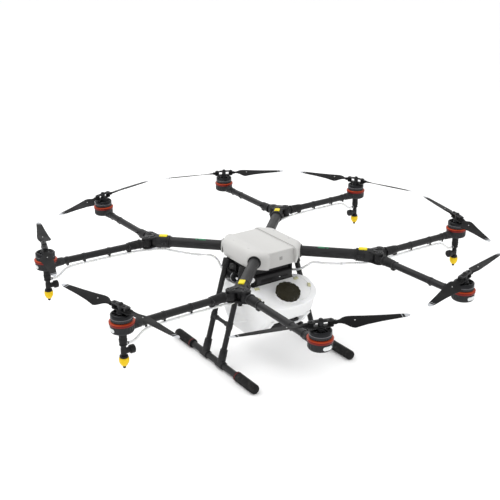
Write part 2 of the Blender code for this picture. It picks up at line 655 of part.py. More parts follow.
# ---------------------------------------------------------------- hoses: pump, under the main tube, past the Y joint, under the arm, nozzle
HOSE_R = 0.0042


def smooth_path(points, step):
    """Catmull-Rom curve through the points, resampled about every step."""
    out = []
    p = [points[0] * 2 - points[1]] + points + [points[-1] * 2 - points[-2]]
    for i in range(1, len(p) - 2):
        a, b, c, d = p[i - 1], p[i], p[i + 1], p[i + 2]
        n = max(1, round((c - b).length / step))
        for j in range(n):
            t = j / n
            out.append(
                0.5
                * (
                    2 * b
                    + (c - a) * t
                    + (2 * a - 5 * b + 4 * c - d) * t * t
                    + (3 * b - 3 * c + d - a) * t * t * t
                )
            )
    out.append(points[-1])
    return out


for k in ARMS:
    if not ARMS[k][5]:
        continue
    azim = ARMS[k][1]
    sx = -1 if azim in (135.0, 225.0) else 1
    rear = azim in (45.0, 135.0)
    fy = 1 if rear else -1
    start_y = 0.0866 if rear else 0.0074
    route = [Vector((sx * 0.103, start_y, -0.1150))]
    if rear:
        route += [Vector((sx * 0.103, 0.0980, -0.1140)), Vector((sx * 0.106, 0.1120, -0.1000)), Vector((sx * 0.112, 0.1250, -0.0780))]
    else:
        route += [Vector((sx * 0.103, -0.0060, -0.1150)), Vector((sx * 0.103, -0.0550, -0.1080)), Vector((sx * 0.107, -0.0950, -0.0920)), Vector((sx * 0.116, -0.1200, -0.0740))]
    for r, z in ((0.190, -0.0600), (0.230, -0.0610), (0.280, -0.0590), (0.330, -0.0530), (0.372, -0.0487)):
        q = polar(r, azim)
        route.append(Vector((q.x, q.y, z)))
    fr = arm_frame(k)
    for x, y, z in ((0.004, 0.0, -0.0290), (0.030, 0.0, -0.0262), (0.075, 0.0, -0.0250), (0.150, 0.0, -0.0240), (0.240, 0.0, -0.0240), (0.292, 0.0, -0.0255), (0.318, 0.0, -0.0330), (0.338, 0.0, -0.0480), (0.352, 0.0, -0.0550)):
        q = fr @ Vector((x, y, z))
        route.append(Vector((q.x, q.y, q.z - Z_RING)))
    q = fr @ Vector((NOZ_X - 0.0180, 0, pod_z - 0.0565 - NOZ_DROP))
    route.append(Vector((q.x, q.y, q.z - Z_RING)))
    pts = smooth_path([Vector((v.x, v.y, up(v.z))) for v in route], 0.022)
    curve = bpy.data.curves.new(f"hose_{k}", "CURVE")
    curve.dimensions = "3D"
    curve.bevel_depth = HOSE_R
    curve.bevel_resolution = 2
    curve.use_fill_caps = True
    line = curve.splines.new("POLY")
    line.points.add(len(pts) - 1)
    for point, v in zip(line.points, pts):
        point.co = (v.x, v.y, v.z, 1.0)
    curve.materials.append(HOSE)
    hose = bpy.data.objects.new(f"hose_{k}", curve)
    PARTS.objects.link(hose)
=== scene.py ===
import math

import bmesh
import bpy
from mathutils import Matrix, Vector


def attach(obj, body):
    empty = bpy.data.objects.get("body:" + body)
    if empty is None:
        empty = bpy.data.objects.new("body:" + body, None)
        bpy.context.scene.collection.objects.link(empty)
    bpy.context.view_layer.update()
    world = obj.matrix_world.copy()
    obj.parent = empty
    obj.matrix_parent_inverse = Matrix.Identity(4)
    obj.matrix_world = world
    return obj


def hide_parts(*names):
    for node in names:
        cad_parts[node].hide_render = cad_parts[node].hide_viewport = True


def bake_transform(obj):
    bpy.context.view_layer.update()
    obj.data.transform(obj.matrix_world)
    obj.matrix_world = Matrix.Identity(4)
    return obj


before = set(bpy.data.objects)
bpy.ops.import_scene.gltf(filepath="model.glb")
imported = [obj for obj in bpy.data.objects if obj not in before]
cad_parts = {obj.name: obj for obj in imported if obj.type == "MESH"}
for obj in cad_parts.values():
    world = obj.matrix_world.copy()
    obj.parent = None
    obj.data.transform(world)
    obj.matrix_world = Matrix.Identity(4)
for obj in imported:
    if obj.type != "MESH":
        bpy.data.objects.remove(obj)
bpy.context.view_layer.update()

# ---------------------------------------------------------------- the aircraft's driving sizes, as in the CAD
MOTOR_R, JOINT_R, HINGE_OFF = 0.760, 0.400, 0.035
Z_RING, Z_TUBE = 0.420, -0.018
MAIN_R, ARM_R = 0.019, 0.012
POD_R, RING_R, BELL_R = 0.0365, 0.0390, 0.0335
PIN_OFF, PROP_R, BLADE_Z = 0.030, 0.267, 0.046
SLOPE = math.radians(20.0)
DECK_Y, DECK_Z, CAP_Y, CAP_BASE = -0.084, -0.121, -0.1585, 0.0085
NOZ_DROP = 0.017
STEP_Y, STEP_Z = -0.0855, -0.1390
ARMS = {
    1: (247.5, 225.0, +1, (-22.0, 163.6), True, False),
    2: (202.5, 225.0, -1, (105.9, -81.0), False, True),
    3: (157.5, 135.0, +1, (73.2, -104.8), True, True),
    4: (112.5, 135.0, -1, (17.8, -152.9), False, False),
    5: (67.5, 45.0, +1, (164.5, -26.9), True, False),
    6: (22.5, 45.0, -1, (116.9, -71.5), False, True),
    7: (337.5, 315.0, +1, (73.0, -112.4), True, True),
    8: (292.5, 315.0, -1, (15.2, -160.3), False, False),
}
CORNERS = {"front_left": 225.0, "rear_left": 135.0, "rear_right": 45.0, "front_right": 315.0}


def polar(radius, azimuth, z=0.0):
    a = math.radians(azimuth)
    return Vector((radius * math.cos(a), radius * math.sin(a), z))


def up(z):
    return z + Z_RING


def turn_z(angle):
    return Matrix.Rotation(angle, 4, "Z")


def move(x, y=0.0, z=0.0):
    return Matrix.Translation((x, y, z) if not isinstance(x, Vector) else x)


def arm_line(k):
    azim, joint = ARMS[k][:2]
    y, m = polar(JOINT_R, joint), polar(MOTOR_R, azim)
    d = (m - y).normalized()
    return y + d * HINGE_OFF, m, d


def arm_frame(k):
    hinge, _, d = arm_line(k)
    hinge.z = up(Z_TUBE)
    return move(hinge) @ turn_z(math.atan2(d.y, d.x))


ARM_LEN = (arm_line(1)[1] - arm_line(1)[0]).length
X_AXIS = Matrix.Rotation(math.radians(90), 4, "Y")  # turns a form about Z into one about X


# ---------------------------------------------------------------- materials
def mat(
    name,
    base,
    rough,
    metal=0.0,
    mottle=(9.0, 0.12),
    grain=(900.0, 0.10),
    rough_var=0.10,
    wear=0.0,
    wear_color=None,
    coat=0.0,
    sss=0.0,
    spec=0.20,
    alpha=1.0,
    transmission=0.0,
    dust=0.0,
):
    """Moulded or painted surface: broad colour variation, fine grain, uneven gloss, worn edges and dust."""
    m = bpy.data.materials.new(name)
    m.use_nodes = True
    nt = m.node_tree
    b = nt.nodes["Principled BSDF"]
    b.inputs["Metallic"].default_value = metal
    b.inputs["Specular IOR Level"].default_value = spec
    b.inputs["Coat Weight"].default_value = coat
    b.inputs["Coat Roughness"].default_value = 0.12
    b.inputs["Subsurface Weight"].default_value = sss
    if sss:
        b.inputs["Subsurface Radius"].default_value = (0.012, 0.012, 0.014)
        b.inputs["Subsurface Scale"].default_value = 0.6
    b.inputs["Transmission Weight"].default_value = transmission
    b.inputs["Alpha"].default_value = alpha
    new, link = nt.nodes.new, nt.links.new
    co = new("ShaderNodeTexCoord")
    big = new("ShaderNodeTexNoise")
    big.inputs["Scale"].default_value = mottle[0]
    big.inputs["Detail"].default_value = 6.0
    link(co.outputs["Object"], big.inputs["Vector"])
    ramp = new("ShaderNodeValToRGB")
    lo = [c * (1 - mottle[1]) for c in base]
    hi = [min(1.0, c * (1 + mottle[1])) for c in base]
    ramp.color_ramp.elements[0].position, ramp.color_ramp.elements[0].color = 0.30, (*lo, 1)
    ramp.color_ramp.elements[1].position, ramp.color_ramp.elements[1].color = 0.70, (*hi, 1)
    link(big.outputs["Fac"], ramp.inputs["Fac"])
    color = ramp.outputs["Color"]
    fine = new("ShaderNodeTexNoise")
    fine.inputs["Scale"].default_value = grain[0]
    fine.inputs["Detail"].default_value = 3.0
    link(co.outputs["Object"], fine.inputs["Vector"])
    if wear:
        geo = new("ShaderNodeNewGeometry")
        edge = new("ShaderNodeMapRange")
        edge.inputs["From Min"].default_value = 0.53
        edge.inputs["From Max"].default_value = 0.62
        link(geo.outputs["Pointiness"], edge.inputs["Value"])
        rubbed = new("ShaderNodeMath")
        rubbed.operation = "MULTIPLY"
        link(edge.outputs["Result"], rubbed.inputs[0])
        link(big.outputs["Fac"], rubbed.inputs[1])
        amount = new("ShaderNodeMath")
        amount.operation = "MULTIPLY"
        amount.inputs[1].default_value = wear
        link(rubbed.outputs["Value"], amount.inputs[0])
        mix = new("ShaderNodeMix")
        mix.data_type = "RGBA"
        link(amount.outputs["Value"], mix.inputs["Factor"])
        link(color, mix.inputs[6])
        mix.inputs[7].default_value = (*(wear_color or [min(1.0, c * 3 + 0.05) for c in base]), 1)
        color = mix.outputs[2]
    if dust:
        dn = new("ShaderNodeTexNoise")
        dn.inputs["Scale"].default_value = 60.0
        dn.inputs["Detail"].default_value = 8.0
        link(co.outputs["Object"], dn.inputs["Vector"])
        dr = new("ShaderNodeMapRange")
        dr.inputs["From Min"].default_value = 0.52
        dr.inputs["From Max"].default_value = 0.80
        dr.inputs["To Max"].default_value = dust
        link(dn.outputs["Fac"], dr.inputs["Value"])
        dm = new("ShaderNodeMix")
        dm.data_type = "RGBA"
        link(dr.outputs["Result"], dm.inputs["Factor"])
        link(color, dm.inputs[6])
        dm.inputs[7].default_value = (0.32, 0.30, 0.27, 1)
        color = dm.outputs[2]
    link(color, b.inputs["Base Color"])
    rr = new("ShaderNodeMapRange")
    rr.inputs["From Min"].default_value = 0.3
    rr.inputs["From Max"].default_value = 0.7
    rr.inputs["To Min"].default_value = max(0.03, rough - rough_var)
    rr.inputs["To Max"].default_value = min(1.0, rough + rough_var)
    link(big.outputs["Fac"], rr.inputs["Value"])
    link(rr.outputs["Result"], b.inputs["Roughness"])
    bump = new("ShaderNodeBump")
    bump.inputs["Strength"].default_value = grain[1]
    bump.inputs["Distance"].default_value = 0.0004
    link(fine.outputs["Fac"], bump.inputs["Height"])
    link(bump.outputs["Normal"], b.inputs["Normal"])
    m.diffuse_color = (*base, 1)
    return m


def carbon(name, dark, light, pitch=0.0022, rough=0.46, coat=0.03):
    """Twill-woven carbon under a satin clear coat."""
    m = bpy.data.materials.new(name)
    m.use_nodes = True
    nt = m.node_tree
    b = nt.nodes["Principled BSDF"]
    b.inputs["Specular IOR Level"].default_value = 0.28
    b.inputs["Coat Weight"].default_value = coat
    b.inputs["Coat Roughness"].default_value = 0.18
    new, link = nt.nodes.new, nt.links.new
    co = new("ShaderNodeTexCoord")
    turn = new("ShaderNodeMapping")
    turn.inputs["Rotation"].default_value = (math.radians(35), math.radians(20), math.radians(45))
    link(co.outputs["Object"], turn.inputs["Vector"])
    bands = []
    for direction in ("X", "Y"):
        w = new("ShaderNodeTexWave")
        w.bands_direction = direction
        w.wave_profile = "SIN"
        w.inputs["Scale"].default_value = 0.314 / pitch
        w.inputs["Distortion"].default_value = 0.4
        w.inputs["Detail"].default_value = 1.0
        link(turn.outputs["Vector"], w.inputs["Vector"])
        bands.append(w)
    over = new("ShaderNodeMath")
    over.operation = "GREATER_THAN"
    link(bands[0].outputs["Fac"], over.inputs[0])
    link(bands[1].outputs["Fac"], over.inputs[1])
    haze = new("ShaderNodeTexNoise")
    haze.inputs["Scale"].default_value = 14.0
    haze.inputs["Detail"].default_value = 5.0
    link(co.outputs["Object"], haze.inputs["Vector"])
    tow = new("ShaderNodeMix")
    tow.data_type = "RGBA"
    tow.inputs[6].default_value = (*dark, 1)
    tow.inputs[7].default_value = (*light, 1)
    link(over.outputs["Value"], tow.inputs["Factor"])
    tint = new("ShaderNodeMix")
    tint.data_type = "RGBA"
    tint.blend_type = "MULTIPLY"
    tint.inputs["Factor"].default_value = 0.5
    link(tow.outputs[2], tint.inputs[6])
    link(haze.outputs["Fac"], tint.inputs[7])
    link(tint.outputs[2], b.inputs["Base Color"])
    rr = new("ShaderNodeMapRange")
    rr.inputs["From Min"].default_value = 0.3
    rr.inputs["From Max"].default_value = 0.7
    rr.inputs["To Min"].default_value = rough - 0.07
    rr.inputs["To Max"].default_value = rough + 0.09
    link(haze.outputs["Fac"], rr.inputs["Value"])
    link(rr.outputs["Result"], b.inputs["Roughness"])
    h = new("ShaderNodeMath")
    h.operation = "MAXIMUM"
    link(bands[0].outputs["Fac"], h.inputs[0])
    link(bands[1].outputs["Fac"], h.inputs[1])
    bump = new("ShaderNodeBump")
    bump.inputs["Strength"].default_value = 0.15
    bump.inputs["Distance"].default_value = 0.0002
    link(h.outputs["Value"], bump.inputs["Height"])
    link(bump.outputs["Normal"], b.inputs["Normal"])
    m.diffuse_color = (*dark, 1)
    return m


CARBON = carbon("woven_carbon", (0.0050, 0.0050, 0.0055), (0.0150, 0.0150, 0.0165))
CARBON_THIN = carbon("woven_carbon_thin", (0.0045, 0.0045, 0.0050), (0.0125, 0.0125, 0.0140), pitch=0.0016)
NYLON = mat("black_nylon", (0.0065, 0.0065, 0.0072), 0.50, wear=0.5, dust=0.05, grain=(1100, 0.22))
NYLON_SATIN = mat("black_nylon_satin", (0.0085, 0.0085, 0.0092), 0.36, wear=0.4, grain=(1300, 0.10))
# Near-black: the own colour of the pump lead, the nozzle tip and the unlit battery lamps, and also painted shade where
# it fills openings: the controller's vent slots, the motor's inside, the gap under its fins and the pod's empty socket.
BLACK_AND_RECESS_SHADE = mat("black_and_painted_recess_shade", (0.008, 0.008, 0.008), 0.75, grain=(700, 0.1))
SHELL = mat("shell_white", (0.51, 0.506, 0.494), 0.36, mottle=(5.0, 0.025), grain=(1400, 0.05), sss=0.04, wear=0.15, wear_color=(0.6, 0.6, 0.58))
SHELL_FRONT = mat("shell_front_grey", (0.485, 0.48, 0.468), 0.42, mottle=(5.0, 0.03), grain=(1400, 0.08))
MARK = mat("shell_mark", (0.29, 0.286, 0.278), 0.45, mottle=(40.0, 0.05), grain=(1400, 0.08))
TANK = mat("tank_polyethylene", (0.84, 0.845, 0.85), 0.44, mottle=(7.0, 0.03), grain=(500, 0.12), sss=0.22)
LATCH = mat("latch_cream", (0.56, 0.55, 0.34), 0.45, mottle=(40.0, 0.08), grain=(900, 0.1))
CAP = mat("cap_olive", (0.0135, 0.0115, 0.0040), 0.62, mottle=(22.0, 0.14), grain=(800, 0.25), wear=0.35, wear_color=(0.09, 0.08, 0.05))
BATTERY = mat("battery_case", (0.0140, 0.0135, 0.0145), 0.52, wear=0.45, dust=0.05, grain=(900, 0.28))
BELL = mat("bell_anodised", (0.016, 0.0165, 0.018), 0.30, metal=0.75, mottle=(30, 0.15), grain=(1600, 0.05), wear=0.5)
FINS = mat("motor_fins", (0.045, 0.045, 0.048), 0.42, metal=0.6, mottle=(60, 0.2), grain=(1500, 0.1))
SILVER = mat("machined_aluminium", (0.62, 0.63, 0.64), 0.28, metal=1.0, mottle=(80, 0.08), grain=(2000, 0.06))
# The motor ring's red-orange, painted lighter on its upper band: a painted highlight where light falls on the ring's
# top; ring_red is the ring's own darker red below.
RING_TOP_HIGHLIGHT = mat("ring_top_painted_highlight", (0.42, 0.046, 0.012), 0.40, mottle=(40, 0.10), grain=(1200, 0.08))
RED = mat("ring_red", (0.17, 0.010, 0.008), 0.42, mottle=(40, 0.12), grain=(1200, 0.08))
DARK_RED = mat("skid_red", (0.085, 0.010, 0.010), 0.55, mottle=(40, 0.15), grain=(900, 0.15))
POD_GREY = mat("pod_grey", (0.020, 0.0205, 0.022), 0.46, mottle=(30, 0.14), grain=(1100, 0.20), wear=0.35)
LENS = mat("lamp_lens", (0.74, 0.77, 0.78), 0.20, mottle=(90, 0.05), grain=(700, 0.05), sss=0.2, coat=0.3)
BLADE = mat("blade_black", (0.0030, 0.0030, 0.0033), 0.50, mottle=(20, 0.18), grain=(1500, 0.12), wear=0.10, spec=0.08)
TIP = mat("blade_tip_silver", (0.42, 0.43, 0.45), 0.38, metal=0.2, mottle=(40, 0.08), grain=(1300, 0.08))
DOT = mat("blade_dot", (0.55, 0.55, 0.54), 0.45, mottle=(90, 0.08), grain=(1300, 0.08))
YELLOW = mat("label_yellow", (0.74, 0.60, 0.012), 0.46, mottle=(50, 0.10), grain=(1300, 0.10), wear=0.3)
AMBER = mat("nozzle_yellow", (0.80, 0.54, 0.010), 0.40, mottle=(50, 0.12), grain=(1100, 0.10))
GREEN = mat("tube_mark_green", (0.012, 0.15, 0.065), 0.45, mottle=(60, 0.15), grain=(1300, 0.1))
HOSE = mat("hose_pale", (0.94, 0.95, 0.95), 0.30, mottle=(25, 0.06), grain=(500, 0.05), sss=0.25, transmission=0.25, coat=0.1)
NOZZLE = mat("nozzle_black", (0.0075, 0.0075, 0.0080), 0.34, mottle=(40, 0.15), grain=(1300, 0.12), wear=0.35)
RUBBER = mat("skid_rubber", (0.0085, 0.0085, 0.0085), 0.80, mottle=(16, 0.20), grain=(650, 0.45), dust=0.10, wear=0.3)
PLATE = mat("frame_black", (0.0110, 0.0110, 0.0120), 0.42, metal=0.3, mottle=(20, 0.15), grain=(1300, 0.10), wear=0.5)
STEEL = mat("screw_steel", (0.50, 0.50, 0.51), 0.30, metal=1.0, mottle=(120, 0.10), grain=(2200, 0.08))
BELL_EDGE = mat("bell_edge", (0.16, 0.16, 0.17), 0.36, metal=0.9, mottle=(80, 0.10), grain=(2000, 0.08))
DARK_STEEL = mat("screw_black", (0.05, 0.05, 0.052), 0.35, metal=0.9, mottle=(120, 0.10), grain=(2200, 0.08))


# ---------------------------------------------------------------- mesh building
class Build:
    """Collects closed forms, each with its own material, into one mesh."""

    def __init__(self):
        self.bm = bmesh.new()
        self.mats = []

    def index(self, m):
        if m not in self.mats:
            self.mats.append(m)
        return self.mats.index(m)

    def take(self, verts, faces, m, at):
        if at is not None:
            bmesh.ops.transform(self.bm, matrix=at, verts=verts)
        i = self.index(m)
        for f in faces:
            f.material_index = i
        bmesh.ops.recalc_face_normals(self.bm, faces=faces)
        return faces

    def spin(self, profile, m, at=None, seg=40, hollow=False, shape=None):
        """profile of (radius, height) about Z, closed on the axis, or closed on itself when hollow. shape(i, angle, r) may change a radius."""
        bm = self.bm
        rows, verts = [], []
        for i, (r, z) in enumerate(profile):
            if r < 1e-7:
                row = [bm.verts.new((0, 0, z))]
            else:
                row = []
                for j in range(seg):
                    a = 2 * math.pi * j / seg
                    rr = shape(i, a, r) if shape else r
                    row.append(bm.verts.new((rr * math.cos(a), rr * math.sin(a), z)))
            rows.append(row)
            verts += row
        faces = []
        pairs = list(zip(rows, rows[1:]))
        if hollow:
            pairs.append((rows[-1], rows[0]))
        for a, b in pairs:
            for j in range(seg):
                k = (j + 1) % seg
                if len(a) == 1 and len(b) == 1:
                    continue
                if len(a) == 1:
                    faces.append(bm.faces.new((a[0], b[j], b[k])))
                elif len(b) == 1:
                    faces.append(bm.faces.new((a[j], b[0], a[k])))
                else:
                    faces.append(bm.faces.new((a[j], b[j], b[k], a[k])))
        if not hollow:
            for row in (rows[0], rows[-1]):
                if len(row) > 1:
                    faces.append(bm.faces.new(row))
        return self.take(verts, faces, m, at)

    def rod(self, p0, p1, r0, m, r1=None, seg=24, soft=0.0008, at=None):
        p0, p1 = Vector(p0), Vector(p1)
        r1 = r0 if r1 is None else r1
        d = p1 - p0
        n = d.length
        s = min(soft, r0 * 0.4, r1 * 0.4, n * 0.3)
        where = move(p0) @ d.to_track_quat("Z", "Y").to_matrix().to_4x4()
        if at is not None:
            where = at @ where
        prof = [(0, n), (r1 - s, n), (r1, n - s), (r0, s), (r0 - s, 0), (0, 0)]
        return self.spin(prof, m, where, seg)

    def pipe_wall(self, p0, p1, r_out, r_in, m, seg=32, soft=0.0006, at=None):
        p0, p1 = Vector(p0), Vector(p1)
        d = p1 - p0
        n = d.length
        where = move(p0) @ d.to_track_quat("Z", "Y").to_matrix().to_4x4()
        if at is not None:
            where = at @ where
        prof = [(r_in, n), (r_out - soft, n), (r_out, n - soft), (r_out, soft), (r_out - soft, 0), (r_in, 0)]
        return self.spin(prof, m, where, seg, hollow=True)

    def box(self, lo, hi, m, soft=0.0010, at=None, steps=2):
        bm = self.bm
        lo, hi = Vector(lo), Vector(hi)
        made = bmesh.ops.create_cube(bm, size=1.0)
        verts = made["verts"]
        for v in verts:
            v.co = Vector(((v.co.x + 0.5) * (hi.x - lo.x) + lo.x, (v.co.y + 0.5) * (hi.y - lo.y) + lo.y, (v.co.z + 0.5) * (hi.z - lo.z) + lo.z))
        edges = list({e for v in verts for e in v.link_edges})
        soft = min(soft, min(hi - lo) * 0.35)
        out = bmesh.ops.bevel(bm, geom=edges, offset=soft, segments=steps, profile=0.5, affect="EDGES", clamp_overlap=True)
        faces = set(out["faces"])
        for f in list(faces):
            for v in f.verts:
                faces.update(v.link_faces)
        verts = list({v for f in faces for v in f.verts})
        return self.take(verts, list(faces), m, at)

    def prism(self, outline, z0, z1, m, soft=0.0010, at=None, steps=2):
        """Flat outline between two heights, with its rims rounded."""
        pts = [Vector((x, y)) for x, y in outline]
        area = sum(a.x * b.y - b.x * a.y for a, b in zip(pts, pts[1:] + pts[:1]))
        if area < 0:
            pts.reverse()
        n = len(pts)

        def inset(d):
            ring = []
            for i in range(n):
                e0 = (pts[i] - pts[i - 1]).normalized()
                e1 = (pts[(i + 1) % n] - pts[i]).normalized()
                n0, n1 = Vector((-e0.y, e0.x)), Vector((-e1.y, e1.x))
                b = (n0 + n1).normalized()
                ring.append(pts[i] + b * (d / max(0.5, b.dot(n0))))
            return ring

        levels = []
        for i in range(steps + 1):
            a = math.pi / 2 * i / steps
            levels.append((z0 + soft * (1 - math.sin(a)), soft * (1 - math.cos(a))))
        rows = [(z0 + (z0 + soft - z), d) for z, d in levels]
        rows = [(z0 + soft * (1 - math.cos(math.pi / 2 * i / steps)), soft * (1 - math.sin(math.pi / 2 * i / steps))) for i in range(steps + 1)]
        rows += [(z1 - (z - z0), d) for z, d in reversed(rows)]
        rings = [[Vector((p.x, p.y, z)) for p in inset(d)] for z, d in rows]
        return self.rings(rings, m, at)

    def rings(self, rings, m, at=None, mats=None):
        bm = self.bm
        made = [[bm.verts.new(p) for p in ring] for ring in rings]
        n = len(made[0])
        faces, bands = [], []
        for a, b in zip(made, made[1:]):
            band = [bm.faces.new((a[i], a[(i + 1) % n], b[(i + 1) % n], b[i])) for i in range(n)]
            bands.append(band)
            faces += band
        faces.append(bm.faces.new(list(reversed(made[0]))))
        faces.append(bm.faces.new(made[-1]))
        bands[0].append(faces[-2])
        bands[-1].append(faces[-1])
        self.take([v for r in made for v in r], faces, m, at)
        if mats:
            for band, mm in zip(bands, mats):
                i = self.index(mm)
                for f in band:
                    f.material_index = i
        return faces

    def pipe(self, points, r, m, seg=14, at=None):
        pts = [Vector(p) for p in points]
        tangents = [(pts[min(i + 1, len(pts) - 1)] - pts[max(i - 1, 0)]).normalized() for i in range(len(pts))]
        side = tangents[0].orthogonal().normalized()
        rings = []
        for p, t in zip(pts, tangents):
            side = (side - t * side.dot(t)).normalized()
            other = t.cross(side)
            rr = r(len(rings) / (len(pts) - 1)) if callable(r) else r
            rings.append([p + side * (rr * math.cos(2 * math.pi * j / seg)) + other * (rr * math.sin(2 * math.pi * j / seg)) for j in range(seg)])
        return self.rings(rings, m, at)

    def screw(self, p, axis, r, m=None, h=0.0012, at=None):
        """Socket-head screw: rounded head with a hexagonal recess, standing on p."""
        where = move(Vector(p)) @ Vector(axis).to_track_quat("Z", "Y").to_matrix().to_4x4()
        if at is not None:
            where = at @ where

        def hexed(i, a, rr):
            return rr if i < 3 or i > 4 else rr / max(0.86, math.cos((a + math.pi / 6) % (math.pi / 3) - math.pi / 6))

        self.spin([(0, -0.0006), (r, -0.0006), (r, h * 0.7), (r * 0.86, h), (r * 0.46, h), (r * 0.46, h * 0.35), (0, h * 0.35)][::-1], m or DARK_STEEL, where, 18)

    def mesh(self, name, angle=38.0):
        me = bpy.data.meshes.new(name)
        self.bm.to_mesh(me)
        self.bm.free()
        for m in self.mats:
            me.materials.append(m)
        me.shade_smooth()
        me.set_sharp_from_angle(angle=math.radians(angle))
        return me


def put(name, mesh, where, body, stands_for=()):
    me = mesh.copy()
    me.name = name
    me.transform(where)
    o = bpy.data.objects.new(name, me)
    bpy.context.scene.collection.objects.link(o)
    if stands_for:
        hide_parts(*stands_for)
    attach(o, body)
    return o


def ridged(count, depth, first, last):
    """Makes the rows first to last of a turned form stand in ridges."""

    def shape(i, a, r):
        if first <= i <= last:
            return r - depth * (0.5 - 0.5 * math.cos(count * a))
        return r

    return shape


WORLD = Matrix.Identity(4)

# ---------------------------------------------------------------- arms
pz = -Z_TUBE


def arm_mesh(name, spray):
    b = Build()
    L = ARM_LEN
    b.rod((0.020, 0, 0), (L - 0.028, 0, 0), ARM_R, CARBON_THIN, seg=36, soft=0.0003)
    # knuckle with its bore
    b.spin([(0.0044, 0.0135), (0.0148, 0.0135), (0.0160, 0.0130), (0.0165, 0.0118), (0.0165, -0.0118), (0.0160, -0.0130), (0.0148, -0.0135), (0.0044, -0.0135)], NYLON, seg=44, hollow=True)
    b.box((0.0062, -0.0118, -0.0118), (0.0272, 0.0118, 0.0118), NYLON, soft=0.0025)
    for s in (1, -1):
        b.box((0.008, s * 0.0122 - 0.0008, -0.0045), (0.024, s * 0.0122 + 0.0008, 0.0045), NYLON_SATIN, soft=0.0006)
    # end ring, then the threaded locking sleeve with a grip band
    b.spin([(0, 0.0245), (0.0170, 0.0245), (0.0180, 0.0255), (0.0180, 0.0300), (0.0172, 0.0310), (0, 0.0310)], NYLON_SATIN, X_AXIS, 48)
    b.spin(
        [(0, 0.0305), (0.0152, 0.0305), (0.0160, 0.0320), (0.0160, 0.0352), (0.0164, 0.0362), (0.0164, 0.0516), (0.0159, 0.0526), (0.0156, 0.0600), (0.0154, 0.0700), (0.0146, 0.0725), (0.0124, 0.0733), (0, 0.0733)],
        NYLON,
        X_AXIS,
        96,
        shape=ridged(24, 0.0011, 4, 5),
    )
    b.spin([(0, 0.0720), (0.0138, 0.0720), (0.0142, 0.0730), (0.0142, 0.0780), (0.0130, 0.0792), (0, 0.0792)], NYLON_SATIN, X_AXIS, 40)
    # sprung lock catch under the sleeve, and the small knob beside it
    b.box((0.0640, -0.0062, -0.0200), (0.0800, 0.0062, -0.0120), NYLON, soft=0.0018)
    b.box((0.0665, -0.0036, -0.0215), (0.0770, 0.0036, -0.0195), NYLON_SATIN, soft=0.0008)
    b.rod((0.0750, 0.0, 0.0), (0.0750, 0.0185, 0.0040), 0.0042, NYLON_SATIN, seg=20)
    b.screw((0.0750, 0.0183, 0.0040), (0, 0.95, 0.2), 0.0030)
    # cable clips along the tube
    for x in (0.150, 0.245, L - 0.076) if spray else (0.245, L - 0.076):
        b.pipe_wall((x - 0.0045, 0, 0), (x + 0.0045, 0, 0), 0.0134, 0.0118, NYLON_SATIN, seg=32)
        if spray:
            b.box((x - 0.0040, -0.0060, -0.0190), (x + 0.0040, -0.0048, -0.0110), NYLON_SATIN, soft=0.0004)
            b.box((x - 0.0040, 0.0048, -0.0190), (x + 0.0040, 0.0060, -0.0110), NYLON_SATIN, soft=0.0004)
        else:
            b.box((x - 0.0035, -0.0040, -0.0165), (x + 0.0035, 0.0040, -0.0120), NYLON_SATIN, soft=0.0008)
    # socket into the motor mount, with a clamp screw each side
    b.spin([(0, L - 0.062), (0.0132, L - 0.062), (0.0142, L - 0.060), (0.0150, L - 0.044), (0.0160, L - 0.032), (0.0160, L - 0.020), (0, L - 0.020)], POD_GREY, X_AXIS, 40)
    for s in (1, -1):
        b.box((L - 0.054, s * 0.0145 - 0.0030, -0.0045), (L - 0.044, s * 0.0145 + 0.0030, 0.0045), POD_GREY, soft=0.0010)
        b.screw((L - 0.049, s * 0.0176, 0), (0, s, 0), 0.0022)
    at = move(L, 0, pz)

    def vents(i, a, r):
        return r - (0.0012 if 5 <= i <= 8 and math.cos(20 * a) > 0.35 and abs(math.atan2(math.sin(a), math.cos(a))) > 0.62 else 0.0)

    b.spin(
        [(0, -0.0048), (0.0352, -0.0048), (0.0360, -0.0054), (POD_R, -0.0062), (POD_R, -0.0090), (POD_R, -0.0100), (POD_R, -0.0106), (POD_R, -0.0190), (POD_R, -0.0196), (POD_R, -0.0206), (POD_R, -0.0238), (0.0356, -0.0262), (0.0338, -0.0286), (0.0312, -0.0300), (0.0280, -0.0300), (0.0270, -0.0292), (0, -0.0292)],
        POD_GREY,
        at,
        120,
        shape=vents,
    )
    # ring under the motor: upper band in lighter orange as painted highlight, lower band in the ring's own red
    b.spin([(0.0300, 0.0049), (0.0372, 0.0049), (0.0384, 0.0043), (0.0389, 0.0035), (0.0387, 0.0027), (0.0376, 0.0022), (0.0300, 0.0022)], RING_TOP_HIGHLIGHT, at, 72, hollow=True)
    b.spin([(0.0300, 0.0019), (0.0376, 0.0019), (0.0385, 0.0012), (0.0384, -0.0034), (0.0376, -0.0047), (0.0300, -0.0050)], RED, at, 72, hollow=True)
    # lamp lens on the outer side of the pod
    rows = []
    for t in range(29):
        a = 0.43 * (t / 14 - 1)
        over = max(0.0, abs(a) - 0.264) / 0.166
        tall = max(0.0007, 0.0061 * math.sqrt(max(0.0, 1 - over * over)))
        section = ((0.0350, tall), (0.0368, tall), (0.0374, tall * 0.86), (0.0374, -tall * 0.86), (0.0368, -tall), (0.0350, -tall))
        rows.append([Vector((r * math.cos(a), r * math.sin(a), -0.0168 + z)) for r, z in section])
    b.rings(rows, LENS, at)
    for t in range(3):
        a = math.radians(60 + 120 * t)
        b.screw((0.020 * math.cos(a), 0.020 * math.sin(a), -0.0293), (0, 0, -1), 0.0026, at=at)
